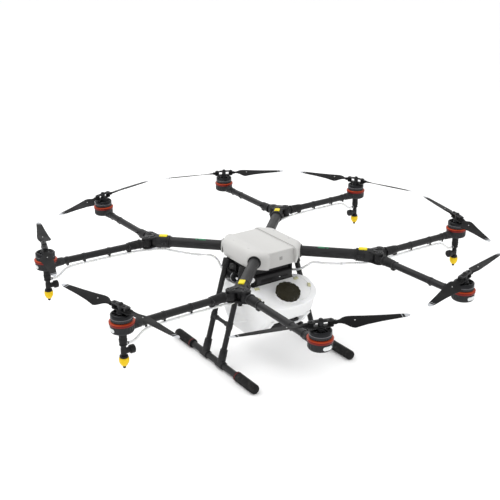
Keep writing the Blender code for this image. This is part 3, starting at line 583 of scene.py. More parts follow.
    # on plain arms a dark disc at the pod's bottom: painted shade of the empty nozzle socket
    if not spray:
        b.spin([(0, -0.0290), (0.0090, -0.0290), (0.0090, -0.0298), (0, -0.0298)], BLACK_AND_RECESS_SHADE, at, 24)
    if spray:
        q = pz - NOZ_DROP
        b.spin([(0, pz - 0.0280), (0.0150, pz - 0.0280), (0.0150, pz - 0.0310), (0.0132, pz - 0.0340), (0.0122, pz - 0.0370), (0.0120, q - 0.0380), (0.0129, q - 0.0390), (0.0129, q - 0.0425), (0.0122, q - 0.0432), (0.0122, q - 0.0452), (0.0114, q - 0.0460), (0, q - 0.0460)], NYLON, move(L), 40)
    return b.mesh(name)


arm_plain, arm_spray = arm_mesh("arm_plain", False), arm_mesh("arm_spray", True)
for k in ARMS:
    put(f"arm_{k}_detailed", arm_spray if ARMS[k][5] else arm_plain, arm_frame(k), f"arm_{k}", [f"arm_{k}"])

# ---------------------------------------------------------------- rotors


def rotor_mesh():
    b = Build()
    # dark disc at the motor's base, showing as a dark line between the ring and the fins: painted shade of the gap
    b.spin([(0, 0.0056), (0.0310, 0.0056), (0.0316, 0.0062), (0.0316, 0.0074), (0, 0.0074)], BLACK_AND_RECESS_SHADE, None, 48)
    b.spin([(0, 0.0066), (0.0322, 0.0066), (0.0332, 0.0072), (0.0332, 0.0150), (0.0322, 0.0156), (0, 0.0156)], FINS, None, 144, shape=ridged(36, 0.0013, 1, 4))
    b.spin([(0.0260, 0.0154), (0.0330, 0.0154), (0.0336, 0.0160), (0.0336, 0.0172), (0.0330, 0.0178), (0.0260, 0.0178)], BELL_EDGE, None, 72, hollow=True)
    b.spin(
        [(0.0262, 0.0176), (0.0329, 0.0176), (0.0334, 0.0182), (0.0334, 0.0262), (0.0330, 0.0274), (0.0318, 0.0286), (0.0300, 0.0298), (0.0282, 0.0304), (0.0270, 0.0300), (0.0262, 0.0285)],
        BELL,
        None,
        72,
        hollow=True,
    )
    # dark disc filling the bell's inside, seen between the spokes: painted shade of the motor's interior
    b.spin([(0, 0.0160), (0.0268, 0.0160), (0.0268, 0.0225), (0, 0.0225)], BLACK_AND_RECESS_SHADE, None, 40)
    b.spin([(0, 0.0220), (0.0150, 0.0220), (0.0150, 0.0296), (0.0140, 0.0306), (0.0128, 0.0308), (0.0124, 0.0345), (0.0116, 0.0356), (0, 0.0356)], BELL, None, 40)
    for t in range(10):
        at = turn_z(2 * math.pi * t / 10)
        b.box((0.0130, -0.0017, 0.0245), (0.0274, 0.0017, 0.0296), BELL, soft=0.0008, at=at)
    for t in range(4):
        a = math.pi / 4 + t * math.pi / 2
        b.screw((0.0100 * math.cos(a), 0.0100 * math.sin(a), 0.0353), (0, 0, 1), 0.0017)

    def bar(half, width, n=9):
        pts = []
        for s in (1, -1):
            for i in range(n):
                a = math.pi / 2 * s * 0 + math.pi * i / (n - 1) - math.pi / 2 + (0 if s == 1 else math.pi)
                pts.append((s * (half - width) + width * math.cos(a), width * math.sin(a)))
        return pts

    b.prism(bar(0.0392, 0.0098), 0.0358, 0.0396, NYLON_SATIN, soft=0.0008)
    b.prism(bar(0.0392, 0.0096), 0.0525, 0.0554, NYLON_SATIN, soft=0.0008)
    b.prism([(0.016, 0.0052), (-0.016, 0.0052), (-0.019, 0), (-0.016, -0.0052), (0.016, -0.0052), (0.019, 0)], 0.0548, 0.0572, NYLON, soft=0.0006)
    for s in (1, -1):
        b.rod((s * PIN_OFF, 0, 0.0370), (s * PIN_OFF, 0, 0.0560), 0.0029, STEEL, seg=20)
        b.screw((s * PIN_OFF, 0, 0.0554), (0, 0, 1), 0.0048, h=0.0028)
    b.rod((0, 0, 0.034), (0, 0, 0.0560), 0.0084, BELL, seg=32)
    b.spin([(0, 0.0620), (0.0044, 0.0620), (0.0062, 0.0606), (0.0070, 0.0590), (0.0074, 0.0570), (0.0074, 0.0550), (0, 0.0550)], NYLON, None, 48, shape=ridged(12, 0.0006, 2, 5))
    return b.mesh("rotor_detailed")


ROTOR = rotor_mesh()


def hub_azimuth(k):
    t1, t2 = ARMS[k][3]
    return t1 + ((t2 + 180.0 - t1 + 180.0) % 360.0 - 180.0) / 2.0


for k in ARMS:
    put(f"rotor_{k}_detailed", ROTOR, move(polar(MOTOR_R, ARMS[k][0], Z_RING)) @ turn_z(math.radians(hub_azimuth(k))), f"rotor_{k}", [f"rotor_{k}"])

# ---------------------------------------------------------------- blades
BLADE_LEN = PROP_R - PIN_OFF
STATIONS = (
    (0.010, 0.0083, -0.0083, 0.0092, 0.0),
    (0.026, 0.0092, -0.0083, 0.0078, 6.0),
    (0.038, 0.0160, -0.0135, 0.0058, 14.0),
    (0.050, 0.0183, -0.0250, 0.0048, 17.0),
    (0.062, 0.0183, -0.0318, 0.0042, 17.0),
    (0.080, 0.0170, -0.0285, 0.0038, 15.5),
    (0.105, 0.0150, -0.0238, 0.0034, 13.0),
    (0.165, 0.0110, -0.0163, 0.0027, 9.5),
    (0.228, 0.0071, -0.0093, 0.0019, 7.0),
    (BLADE_LEN, 0.0026, -0.0040, 0.0009, 6.0),
)


def between(x):
    """The blade's section at x, smooth between the stations."""
    s = STATIONS
    i = max(j for j in range(len(s) - 1) if s[j][0] <= x + 1e-9)
    p0, p1, p2, p3 = s[max(i - 1, 0)], s[i], s[i + 1], s[min(i + 2, len(s) - 1)]
    t = (x - p1[0]) / (p2[0] - p1[0])
    out = []
    for c in range(1, 5):
        m1 = (p2[c] - p0[c]) / (p2[0] - p0[0]) * (p2[0] - p1[0]) * 0.8
        m2 = (p3[c] - p1[c]) / (p3[0] - p1[0]) * (p2[0] - p1[0]) * 0.8
        h = (2 * t**3 - 3 * t**2 + 1, t**3 - 2 * t**2 + t, -2 * t**3 + 3 * t**2, t**3 - t**2)
        out.append(h[0] * p1[c] + h[1] * m1 + h[2] * p2[c] + h[3] * m2)
    return out


def blade_mesh(name, hand):
    b = Build()
    foil = []
    for i in range(15):  # upper side, leading edge to trailing edge
        u = 0.5 + 0.5 * math.cos(math.pi * i / 14)
        foil.append((u, 0.95 * (math.sqrt(max(0.0, 1 - u)) * (0.25 + 0.75 * u)) * 0.75 + 0.05))
    for i in range(1, 14):
        u = 0.5 - 0.5 * math.cos(math.pi * i / 14)
        foil.append((u, -0.50 * (math.sqrt(max(0.0, 1 - u)) * (0.2 + 0.8 * u)) - 0.05))
    marks = {0.2105, 0.2125, 0.2135, 0.2185, 0.2195, 0.2215}
    xs = sorted({0.010 + (BLADE_LEN - 0.010) * i / 34 for i in range(35)} | marks)
    rings, mats = [], []
    for x in xs:
        lead, trail, thick, pitch = between(x)
        if x > BLADE_LEN - 0.012:
            q = (x - (BLADE_LEN - 0.012)) / 0.012
            lead, trail = lead * (1 - 0.25 * q * q), trail * (1 - 0.25 * q * q)
        p = math.radians(pitch)
        ring = []
        for u, w in foil:
            y, z = trail + (lead - trail) * u, thick * w
            ring.append(Vector((x, hand * (y * math.cos(p) - z * math.sin(p)), y * math.sin(p) + z * math.cos(p))))
        rings.append(ring)
    for x0, x1 in zip(xs, xs[1:]):
        mid = (x0 + x1) / 2
        if mid < 0.2105:
            mats.append(BLADE)
        elif mid < 0.2125 or 0.2195 < mid < 0.2215:
            mats.append(TIP)
        elif mid < 0.2195:
            mats.append(BLADE)
        else:
            mats.append(TIP)
    b.rings(rings, BLADE, mats=mats)
    b.spin([(0.0034, 0.0060), (0.0078, 0.0060), (0.0087, 0.0052), (0.0088, -0.0052), (0.0078, -0.0060), (0.0034, -0.0060)], BLADE, None, 36, hollow=True)
    b.prism([(0.0050, 0.0072), (0.0050, -0.0072), (0.0150, -0.0078), (0.0180, -0.0060), (0.0180, 0.0060), (0.0150, 0.0078)], -0.0044, 0.0046, BLADE, soft=0.0014)
    lead, trail, thick, pitch = between(0.070)
    p = math.radians(pitch)
    at = move(0.070, 0, 0) @ Matrix.Rotation(p * hand, 4, "X")
    b.spin([(0, 0.0030), (0.0014, 0.0030), (0.0018, 0.0026), (0.0018, 0.0008), (0, 0.0008)], DOT, at @ move(0, -hand * 0.002, 0), 20)
    return b.mesh(name, 50)


BLADES = {True: blade_mesh("blade_left_hand", 1), False: blade_mesh("blade_right_hand", -1)}
for k in ARMS:
    centre, hub = polar(MOTOR_R, ARMS[k][0]), hub_azimuth(k)
    for side, letter in ((0, "a"), (1, "b")):
        pin = centre + polar(PIN_OFF, hub + 180.0 * side)
        way = centre + polar(PROP_R, ARMS[k][3][side]) - pin
        pin.z = up(BLADE_Z)
        put(f"blade_{k}{letter}_detailed", BLADES[ARMS[k][4]], move(pin) @ turn_z(math.atan2(way.y, way.x)), f"blade_{k}{letter}", [f"blade_{k}{letter}"])

# ---------------------------------------------------------------- Y joints
hinge_dir = math.atan2(polar(MOTOR_R, 22.5).y, polar(MOTOR_R, 22.5).x - JOINT_R)
HX, HY = JOINT_R + HINGE_OFF * math.cos(hinge_dir), HINGE_OFF * math.sin(hinge_dir)


def ears(r, n=14):
    pts = []
    for s in (-1, 1):
        mid = math.degrees(math.atan2(s * HY, HX - JOINT_R))
        for i in range(n + 1):
            a = math.radians(mid - 90 + 180 * i / n)
            pts.append((HX + r * math.cos(a), s * HY + r * math.sin(a)))
    return pts + [(JOINT_R - 0.010, 0.0175), (JOINT_R - 0.017, 0.0150), (JOINT_R - 0.017, -0.0150), (JOINT_R - 0.010, -0.0175)]


def y_mesh():
    b = Build()
    bore = MAIN_R + 0.0004
    b.spin(
        [(bore, 0.3420), (0.0228, 0.3420), (0.0238, 0.3430), (0.0238, 0.3475), (0.0229, 0.3485), (0.0229, 0.3500), (0.0238, 0.3510), (0.0238, 0.3715), (0.0226, 0.3730), (bore, 0.3730)],
        NYLON,
        X_AXIS,
        64,
        hollow=True,
    )
    # body between the clamp and the fork
    b.prism([(0.3715, 0.0172), (0.3960, 0.0172), (0.4000, 0.0165), (0.4000, -0.0165), (0.3960, -0.0172), (0.3715, -0.0172)], -0.0214, 0.0214, NYLON, soft=0.0030)
    b.spin([(0, 0.0205), (0.0165, 0.0205), (0.0177, 0.0195), (0.0177, -0.0195), (0.0165, -0.0205), (0, -0.0205)], NYLON, move(JOINT_R), 40)
    for z0, z1 in ((0.0142, 0.0202), (-0.0202, -0.0142)):
        b.prism(ears(0.0172), z0, z1, NYLON, soft=0.0012)
    # raised rib round each ear and the fold pins' heads
    for s in (1, -1):
        at = move(HX, s * HY, 0)
        b.spin([(0.0105, 0.0196), (0.0150, 0.0196), (0.0150, 0.0212), (0.0144, 0.0218), (0.0111, 0.0218), (0.0105, 0.0212)], NYLON_SATIN, at, 40, hollow=True)
        b.rod((0, 0, -0.0205), (0, 0, 0.0205), 0.0039, STEEL, seg=20, at=at)
        b.screw((0, 0, 0.0202), (0, 0, 1), 0.0068, h=0.0030, at=at)
        b.screw((0, 0, -0.0202), (0, 0, -1), 0.0068, h=0.0024, at=at)
        # spine from the centre out to each ear
        d = Vector((HX - JOINT_R, s * HY, 0)).normalized()
        ang = math.atan2(d.y, d.x)
        b.box((0.004, -0.0050, 0.0195), (0.0240, 0.0050, 0.0226), NYLON_SATIN, soft=0.0012, at=move(JOINT_R) @ turn_z(ang))
    # seam along the joint, clamp lugs with screws, label tab
    b.box((0.3725, -0.0007, 0.0206), (0.4130, 0.0007, 0.0222), DARK_STEEL, soft=0.0003)
    for s in (1, -1):
        b.box((0.3465, s * 0.0235 - 0.0030, -0.0060), (0.3700, s * 0.0235 + 0.0022, 0.0060), NYLON, soft=0.0015)
        for x in (0.3520, 0.3645):
            b.screw((x, s * 0.0256, 0), (0, s, 0), 0.0024)
    b.prism([(0.3515, -0.0088), (0.3530, -0.0098), (0.3790, -0.0098), (0.3815, -0.0075), (0.3815, 0.0075), (0.3790, 0.0098), (0.3530, 0.0098), (0.3515, 0.0088)], 0.0190, 0.0254, YELLOW, soft=0.0014)
    b.box((0.3560, -0.0046, 0.0248), (0.3600, 0.0046, 0.0258), YELLOW, soft=0.0004)
    b.spin([(0, -0.0216), (0.0060, -0.0216), (0.0060, -0.0228), (0.0052, -0.0234), (0, -0.0234)], NYLON_SATIN, move(0.386), 24)
    return b.mesh("y_joint_detailed")


Y = y_mesh()
for name, azim in CORNERS.items():
    put(f"y_joint_{name}_detailed", Y, move(0, 0, up(Z_TUBE)) @ turn_z(math.radians(azim)), "root", [f"y_joint_{name}"])


# ---------------------------------------------------------------- main tubes
def main_mesh(mark):
    b = Build()
    b.pipe_wall((0.072, 0, 0), (0.3935, 0, 0), MAIN_R, MAIN_R - 0.0025, CARBON, seg=56, soft=0.0004)
    b.pipe_wall((0.3355, 0, 0), (0.3405, 0, 0), MAIN_R + 0.0012, MAIN_R - 0.0004, NYLON_SATIN, seg=48, soft=0.0005)
    if mark:
        # small generic dash on top of the tube
        for x0, x1, w in ((0.206, 0.232, 0.40), (0.237, 0.244, 0.40)):
            rows = []
            for r in (MAIN_R - 0.0006, MAIN_R + 0.00025):
                rows.append([Vector((x, r * math.sin(a), r * math.cos(a))) for x, a in [(x0, w * (2 * t / 6 - 1)) for t in range(7)] + [(x1, w * (1 - 2 * t / 6)) for t in range(7)]])
            b.rings(rows, GREEN)
    return b.mesh("main_tube_marked" if mark else "main_tube_plain")


MAIN = {True: main_mesh(True), False: main_mesh(False)}
for name, azim in CORNERS.items():
    put(f"main_tube_{name}_detailed", MAIN[name in ("rear_left", "front_right")], move(0, 0, up(Z_TUBE)) @ turn_z(math.radians(azim)), "root", [f"main_tube_{name}"])

# ---------------------------------------------------------------- centre frame
PLATE_PLAN = ((0.094, -0.070), (0.094, 0.070), (0.070, 0.098), (-0.070, 0.098), (-0.094, 0.070), (-0.094, -0.070), (-0.070, -0.098), (0.070, -0.098))
LEG_TOP, LEG_FOOT = Vector((0.1146, 0, -0.0505)), Vector((0.2140, 0, -0.4020))
leg_way = (LEG_FOOT - LEG_TOP).normalized()
LEG_Y = 0.0525
SKID_Z = -Z_RING + 0.0165


def leg_point(s, fy, along):
    q = LEG_TOP + leg_way * along
    return Vector((s * q.x, fy * LEG_Y, up(q.z)))


b = Build()
b.prism(PLATE_PLAN, up(-0.0440), up(-0.0400), CARBON, soft=0.0006)
for name, azim in CORNERS.items():
    at = move(0, 0, up(Z_TUBE)) @ turn_z(math.radians(azim))
    b.spin(
        [(MAIN_R + 0.0004, 0.0740), (0.0222, 0.0740), (0.0232, 0.0750), (0.0232, 0.1390), (0.0226, 0.1398), (0.0226, 0.1410), (0.0233, 0.1418), (0.0233, 0.1460), (0.0224, 0.1474), (MAIN_R + 0.0004, 0.1474)],
        NYLON_SATIN,
        at @ X_AXIS,
        56,
        hollow=True,
    )
    b.box((0.078, -0.018, -0.0268), (0.1180, 0.018, -0.0205), NYLON, soft=0.0015, at=at)
for s in (1, -1):
    x0, x1 = sorted((s * 0.0835, s * 0.0925))
    b.box((x0, -0.066, up(-0.0680)), (x1, 0.090, up(-0.0410)), PLATE, soft=0.0015)
    for y in (-0.045, -0.020, 0.005, 0.070):
        b.screw((s * 0.0925, y, up(-0.0540)), (s, 0, 0), 0.0030)
    x0, x1 = sorted((s * 0.0790, s * 0.0850))
    b.box((x0, -0.076, up(-0.1370)), (x1, 0.100, up(-0.0660)), NYLON, soft=0.0018)
    # ribs outside the bay's walls
    for y in (-0.070, -0.044, -0.018, 0.008, 0.092):
        xa, xb = sorted((s * 0.0845, s * 0.0872))
        b.box((xa, y - 0.0014, up(-0.1350)), (xb, y + 0.0014, up(-0.0700)), NYLON, soft=0.0006)
    for fy in (1, -1):
        xa, xb = sorted((s * 0.090, s * 0.1100))
        b.box((xa, fy * LEG_Y - 0.010, up(-0.0680)), (xb, fy * LEG_Y + 0.010, up(-0.0520)), PLATE, soft=0.0020)
        a, e = leg_point(s, fy, -0.0006), leg_point(s, fy, 0.0310)
        d = (e - a).normalized()
        where = move(a) @ d.to_track_quat("Z", "Y").to_matrix().to_4x4()
        b.spin([(0, 0), (0.0126, 0), (0.0138, 0.0012), (0.0138, 0.0240), (0.0131, 0.0250), (0.0131, 0.0262), (0.0138, 0.0270), (0.0138, 0.0308), (0.0130, 0.0316), (0.0104, 0.0316), (0.0104, 0.0039), (0, 0.0039)], NYLON, where, 40)
        b.screw((s * (abs(leg_point(s, fy, 0.015).x) + 0.0135), fy * LEG_Y, leg_point(s, fy, 0.015).z + 0.0035), (s * 0.96, 0, 0.27), 0.0028)
b.box((-0.082, -0.076, up(-0.1250)), (0.082, 0.100, up(-0.1180)), NYLON, soft=0.0012)
b.box((-0.082, -0.082, up(-0.1370)), (0.082, -0.073, up(-0.1182)), BATTERY, soft=0.0022)
b.box((-0.060, -0.0835, up(-0.1335)), (0.060, -0.0815, up(-0.1215)), NYLON_SATIN, soft=0.0008)
put("center_frame_detailed", b.mesh("center_frame_detailed"), WORLD, "root", ["center_frame"])


# ---------------------------------------------------------------- Boolean helpers for the shell and the tank
def helper(build_or_mesh, name):
    me = build_or_mesh.mesh(name) if isinstance(build_or_mesh, Build) else build_or_mesh
    o = bpy.data.objects.new(name, me)
    bpy.context.scene.collection.objects.link(o)
    return o


def apply_all(o, name, angle=38.0, soft=0.0, steps=2, limit=32.0):
    """Evaluates the object's modifiers into a new mesh, welds and simplifies it, and shades it smooth with its sharp
    edges kept.
    """
    bpy.context.view_layer.update()
    graph = bpy.context.evaluated_depsgraph_get()
    me = bpy.data.meshes.new_from_object(o.evaluated_get(graph))
    me.name = name
    bm = bmesh.new()
    bm.from_mesh(me)
    bmesh.ops.remove_doubles(bm, verts=bm.verts, dist=0.00002)
    bmesh.ops.dissolve_limit(bm, angle_limit=math.radians(0.4), verts=bm.verts, edges=bm.edges, delimit={"MATERIAL"})
    bm.to_mesh(me)
    bm.free()
    me.shade_smooth()
    me.set_sharp_from_angle(angle=math.radians(angle))
    return me


def boolean(o, other, op):
    m = o.modifiers.new(op.lower() + other.name, "BOOLEAN")
    m.operation, m.solver, m.object = op, "EXACT", other


def drop(*objs):
    for o in objs:
        bpy.data.objects.remove(o, do_unlink=True)


# ---------------------------------------------------------------- top shell
def fillet(corners, r, n=5):
    """Rounds the corners of a convex outline."""
    out = []
    m = len(corners)
    for i in range(m):
        p0, p, p1 = Vector(corners[i - 1]), Vector(corners[i]), Vector(corners[(i + 1) % m])
        a, c = (p0 - p).normalized(), (p1 - p).normalized()
        half = math.acos(max(-1, min(1, a.dot(c)))) / 2
        t = min(r / math.tan(half), (p0 - p).length * 0.45, (p1 - p).length * 0.45)
        rr = t * math.tan(half)
        centre = p + (a + c).normalized() * (rr / math.sin(half))
        s, e = p + a * t - centre, p + c * t - centre
        turn = s.angle_signed(e) if hasattr(s, "angle_signed") else 0
        for j in range(n + 1):
            q = j / n
            ang = math.acos(max(-1, min(1, s.normalized().dot(e.normalized()))))
            w0, w1 = (math.sin((1 - q) * ang) / math.sin(ang), math.sin(q * ang) / math.sin(ang)) if ang > 1e-4 else (1 - q, q)
            out.append(centre + s * w0 + e * w1)
    return out


def shell_outline(inset, t):
    hx, yf, yr = 0.117 - inset - t, -0.137 + inset + t, 0.131 - inset - t
    c = 0.2022 - 1.25 * inset - 1.4142 * t
    corners = [(hx, -(c - hx)), (hx, c - hx), (c - yr, yr), (-(c - yr), yr), (-hx, c - hx), (-hx, -(c - hx)), (-(c + yf), yf), (c + yf, yf)]
    return fillet(corners, 0.020 - t)


def shell_form(t):
    levels = [(-0.0480, 0.0088), (-0.0440, 0.0072), (-0.0330, 0.0042), (-0.0200, 0.0017), (-0.0100, 0.0005), (-0.0040, 0.0002), (0.0010, 0.0010), (0.0050, 0.0027), (0.0085, 0.0054), (0.0115, 0.0092), (0.0136, 0.0136), (0.0149, 0.0185), (0.0155, 0.0240)]
    rings = []
    for z, inset in levels:
        zz = z if z < 0 else z - t
        rings.append([Vector((p.x, p.y, up(zz))) for p in shell_outline(inset, t)])
    if t:
        for v in rings[0]:
            v.z -= 0.02
    return rings


T = 0.0025
b = Build()
b.rings(shell_form(0.0), SHELL)
outer = helper(b, "shell_outer")
b = Build()
b.rings(shell_form(T), SHELL)
inner = helper(b, "shell_inner")
cutters = []
for o, t in ((outer, 0.0), (inner, T)):
    for tag, lo, hi in (
        ("roof", (-0.0575 - t, -0.2, up(0.0100 - t)), (0.0575 + t, 0.2, up(0.05))),
        ("front", (-0.0575 - t, -0.2, up(-0.10)), (0.0575 + t, -0.1200 + t, up(0.05))),
        ("rear", (-0.0575 - t, 0.1160 - t, up(-0.10)), (0.0575 + t, 0.2, up(0.05))),
    ):
        c = Build()
        c.box(lo, hi, SHELL_FRONT if tag == "front" else SHELL, soft=0.0022, steps=3)
        c = helper(c, f"cut_{tag}_{int(t * 10000)}")
        boolean(o, c, "DIFFERENCE")
        cutters.append(c)
boolean(outer, inner, "DIFFERENCE")
for name, azim in CORNERS.items():
    c = Build()
    c.rod(polar(0.10, azim, up(Z_TUBE)), polar(0.20, azim, up(Z_TUBE)), 0.0240, SHELL, seg=56, soft=0.0)
    c = helper(c, f"cut_hole_{name}")
    boolean(outer, c, "DIFFERENCE")
    cutters.append(c)
shell_me = apply_all(outer, "top_shell_detailed", 30)
drop(outer, inner, *cutters)
put("top_shell_detailed", shell_me, WORLD, "root", ["top_shell"])
# rims round the tube holes, seam strips, a generic recessed mark and four screws
b = Build()
for name, azim in CORNERS.items():
    at = move(0, 0, up(Z_TUBE)) @ turn_z(math.radians(azim)) @ X_AXIS
    b.spin([(0.0241, 0.1405), (0.0262, 0.1405), (0.0268, 0.1412), (0.0268, 0.1434), (0.0262, 0.1441), (0.0241, 0.1441)], SHELL, at, 64, hollow=True)
for s in (1, -1):
    b.box((s * 0.0590 - 0.0010, -0.1205, up(0.0096)), (s * 0.0590 + 0.0010, 0.1150, up(0.0112)), MARK, soft=0.0003)
b.box((-0.0560, -0.1212, up(-0.0440)), (0.0560, -0.1195, up(0.0040)), SHELL_FRONT, soft=0.0007)
b.box((-0.0070, -0.1217, up(-0.0245)), (0.0060, -0.1205, up(-0.0115)), MARK, soft=0.0004)
for s in (1, -1):
    for y in (-0.085, 0.085):
        b.screw((s * 0.0880, y * 0.55, up(0.0148)), (0, 0, 1), 0.0030, STEEL)
put("shell_trim", b.mesh("shell_trim"), WORLD, "root")

# ---------------------------------------------------------------- flight controller
b = Build()
b.box((-0.036, -0.048, up(-0.0397)), (0.036, 0.048, up(-0.0140)), NYLON_SATIN, soft=0.0030)
b.box((-0.030, -0.040, up(-0.0145)), (0.030, 0.040, up(-0.0122)), PLATE, soft=0.0008)
# dark vent slots down each side: painted shade of the slot openings
for s in (1, -1):
    for t in range(4):
        b.box((s * 0.0352 - 0.001, -0.034 + t * 0.019, up(-0.033)), (s * 0.0352 + 0.001, -0.022 + t * 0.019, up(-0.024)), BLACK_AND_RECESS_SHADE, soft=0.0004)
put("flight_controller_detailed", b.mesh("flight_controller_detailed"), WORLD, "root", ["flight_controller"])

# ---------------------------------------------------------------- battery
b = Build()
b.prism([(-0.0775, -0.062), (0.0775, -0.062), (0.0775, 0.096), (-0.0775, 0.096)], up(-0.1176), up(-0.0560), BATTERY, soft=0.0035)
nose = [(-0.0840, -0.1168), (-0.0840, -0.0965), (-0.0805, -0.0905), (-0.0640, -0.0875), (-0.0590, -0.0875), (-0.0590, -0.1168)]
b.prism([(y, z) for y, z in nose], -0.0770, 0.0770, BATTERY, soft=0.0022, at=Matrix(((0, 0, 1, 0), (1, 0, 0, 0), (0, 1, 0, Z_RING), (0, 0, 0, 1))))
b.box((-0.0600, -0.0847, up(-0.1125)), (0.0600, -0.0825, up(-0.0990)), NYLON_SATIN, soft=0.0009)
for i in range(5):
    b.box((0.020 + i * 0.008, -0.0853, up(-0.1080)), (0.0245 + i * 0.008, -0.0840, up(-0.1050)), BLACK_AND_RECESS_SHADE if i else LENS, soft=0.0004)
b.pipe([(-0.0410, 0.0900, up(-0.0900)), (-0.0410, 0.1030, up(-0.0900)), (-0.0405, 0.1065, up(-0.0900)), (-0.0385, 0.1088, up(-0.0900)), (-0.0350, 0.1100, up(-0.0900)), (0.0350, 0.1100, up(-0.0900)), (0.0385, 0.1088, up(-0.0900)), (0.0405, 0.1065, up(-0.0900)), (0.0410, 0.1030, up(-0.0900)), (0.0410, 0.0900, up(-0.0900))], 0.0045, NYLON_SATIN, seg=18)
for s in (1, -1):
    x0, x1 = sorted((s * 0.0765, s * 0.0779))
    for y in (-0.040, -0.010, 0.020, 0.050):
        b.box((x0, y, up(-0.1120)), (x1, y + 0.022, up(-0.0620)), BATTERY, soft=0.0006)
put("battery_detailed", b.mesh("battery_detailed"), WORLD, "battery", ["battery"])


# ---------------------------------------------------------------- tank
def rounded(x0, x1, y0, y1, r, z, n=8):
    pts = []
    for cx, cy, a0 in ((x1 - r, y1 - r, 0), (x0 + r, y1 - r, 90), (x0 + r, y0 + r, 180), (x1 - r, y0 + r, 270)):
        for i in range(n + 1):
            a = math.radians(a0 + 90.0 * i / n)
            pts.append(Vector((cx + r * math.cos(a), cy + r * math.sin(a), z)))
    return pts


TANK_ROWS = (
    (-0.3370, 0.066, -0.036, 0.056, 0.030),
    (-0.3358, 0.076, -0.046, 0.068, 0.033),
    (-0.3320, 0.084, -0.055, 0.079, 0.034),
    (-0.3240, 0.090, -0.068, 0.087, 0.035),
    (-0.3100, 0.096, -0.088, 0.096, 0.036),
    (-0.2950, 0.101, -0.108, 0.103, 0.036),
    (-0.2750, 0.105, -0.132, 0.109, 0.036),
    (-0.2550, 0.108, -0.154, 0.113, 0.036),
    (-0.2350, 0.110, -0.172, 0.1148, 0.036),
    (-0.2150, 0.111, -0.186, 0.115, 0.036),
    (-0.1750, 0.111, -0.197, 0.1145, 0.036),
    (-0.1390, 0.111, -0.203, 0.113, 0.036),
    (-0.1190, 0.111, -0.204, 0.113, 0.036),
)


def tank_form(t):
    return [rounded(-hx + t, hx - t, y0 + t, y1 - t, r - t, up(z + (t if i == 0 else t * 0.6 if i < 3 else 0) - (t * 1.2 if i == len(TANK_ROWS) - 1 else 0))) for i, (z, hx, y0, y1, r) in enumerate(TANK_ROWS)]


deck = move(0, DECK_Y, up(DECK_Z)) @ Matrix.Rotation(SLOPE, 4, "X")
neck_t = -(DECK_Y - CAP_Y) / math.cos(SLOPE)
W = 0.0035
b = Build()
b.rings(tank_form(0.0), TANK)
tank = helper(b, "tank_outer")
b = Build()
b.rings(tank_form(W), TANK)
cavity = helper(b, "tank_inner")
cutters = []


def cutter(tag, form, target, op="DIFFERENCE"):
    c = helper(form, tag)
    boolean(target, c, op)
    cutters.append(c)
    return c


def boxed(lo, hi, soft=0.0, at=None, m=TANK, steps=3):
    c = Build()
    c.box(lo, hi, m, soft=soft, at=at, steps=steps)
    return c


cutter("t_deck", boxed((-0.2, -0.25, 0.0), (0.2, 0.03, 0.2), 0.0003, deck), tank)
cutter("t_rear", boxed((-0.2, STEP_Y, up(STEP_Z)), (0.2, 0.2, up(-0.05)), 0.0020), tank)
cutter("t_recess", boxed((-0.072, -0.25, up(-0.40)), (0.072, -0.096, up(-0.2380)), 0.010, None), tank)
cutter("c_deck", boxed((-0.2, -0.25, -W), (0.2, 0.03, 0.2), 0.0003, deck), cavity)
cutter("c_rear", boxed((-0.2, STEP_Y - W, up(STEP_Z - W * 1.2)), (0.2, 0.2, up(-0.05)), 0.0020), cavity)
cutter("c_recess", boxed((-0.072 - W, -0.26, up(-0.41)), (0.072 + W, -0.096 + W, up(-0.2380 + W)), 0.010, None), cavity)
boolean(tank, cavity, "DIFFERENCE")
c = Build()
c.rod(deck @ Vector((0, neck_t, -0.030)), deck @ Vector((0, neck_t, 0.05)), 0.0360, TANK, seg=56, soft=0.0)
cutter("t_bore", c, tank)
tank_me = apply_all(tank, "tank_detailed", 40)
drop(tank, cavity, *cutters)
put("tank_detailed", tank_me, WORLD, "root", ["tank"])

# filler deck with its rounded rim, neck with thread, latches, drain knob, mouldings
b = Build()
half_plan = [(0.1285, -0.0065), (0.1335, -0.026), (0.1345, -0.050), (0.1320, -0.075), (0.1235, -0.096), (0.108, -0.112), (0.086, -0.1235), (0.062, -0.1325), (0.034, -0.1378)]
plan = half_plan + [(-x, y) for x, y in reversed(half_plan)]


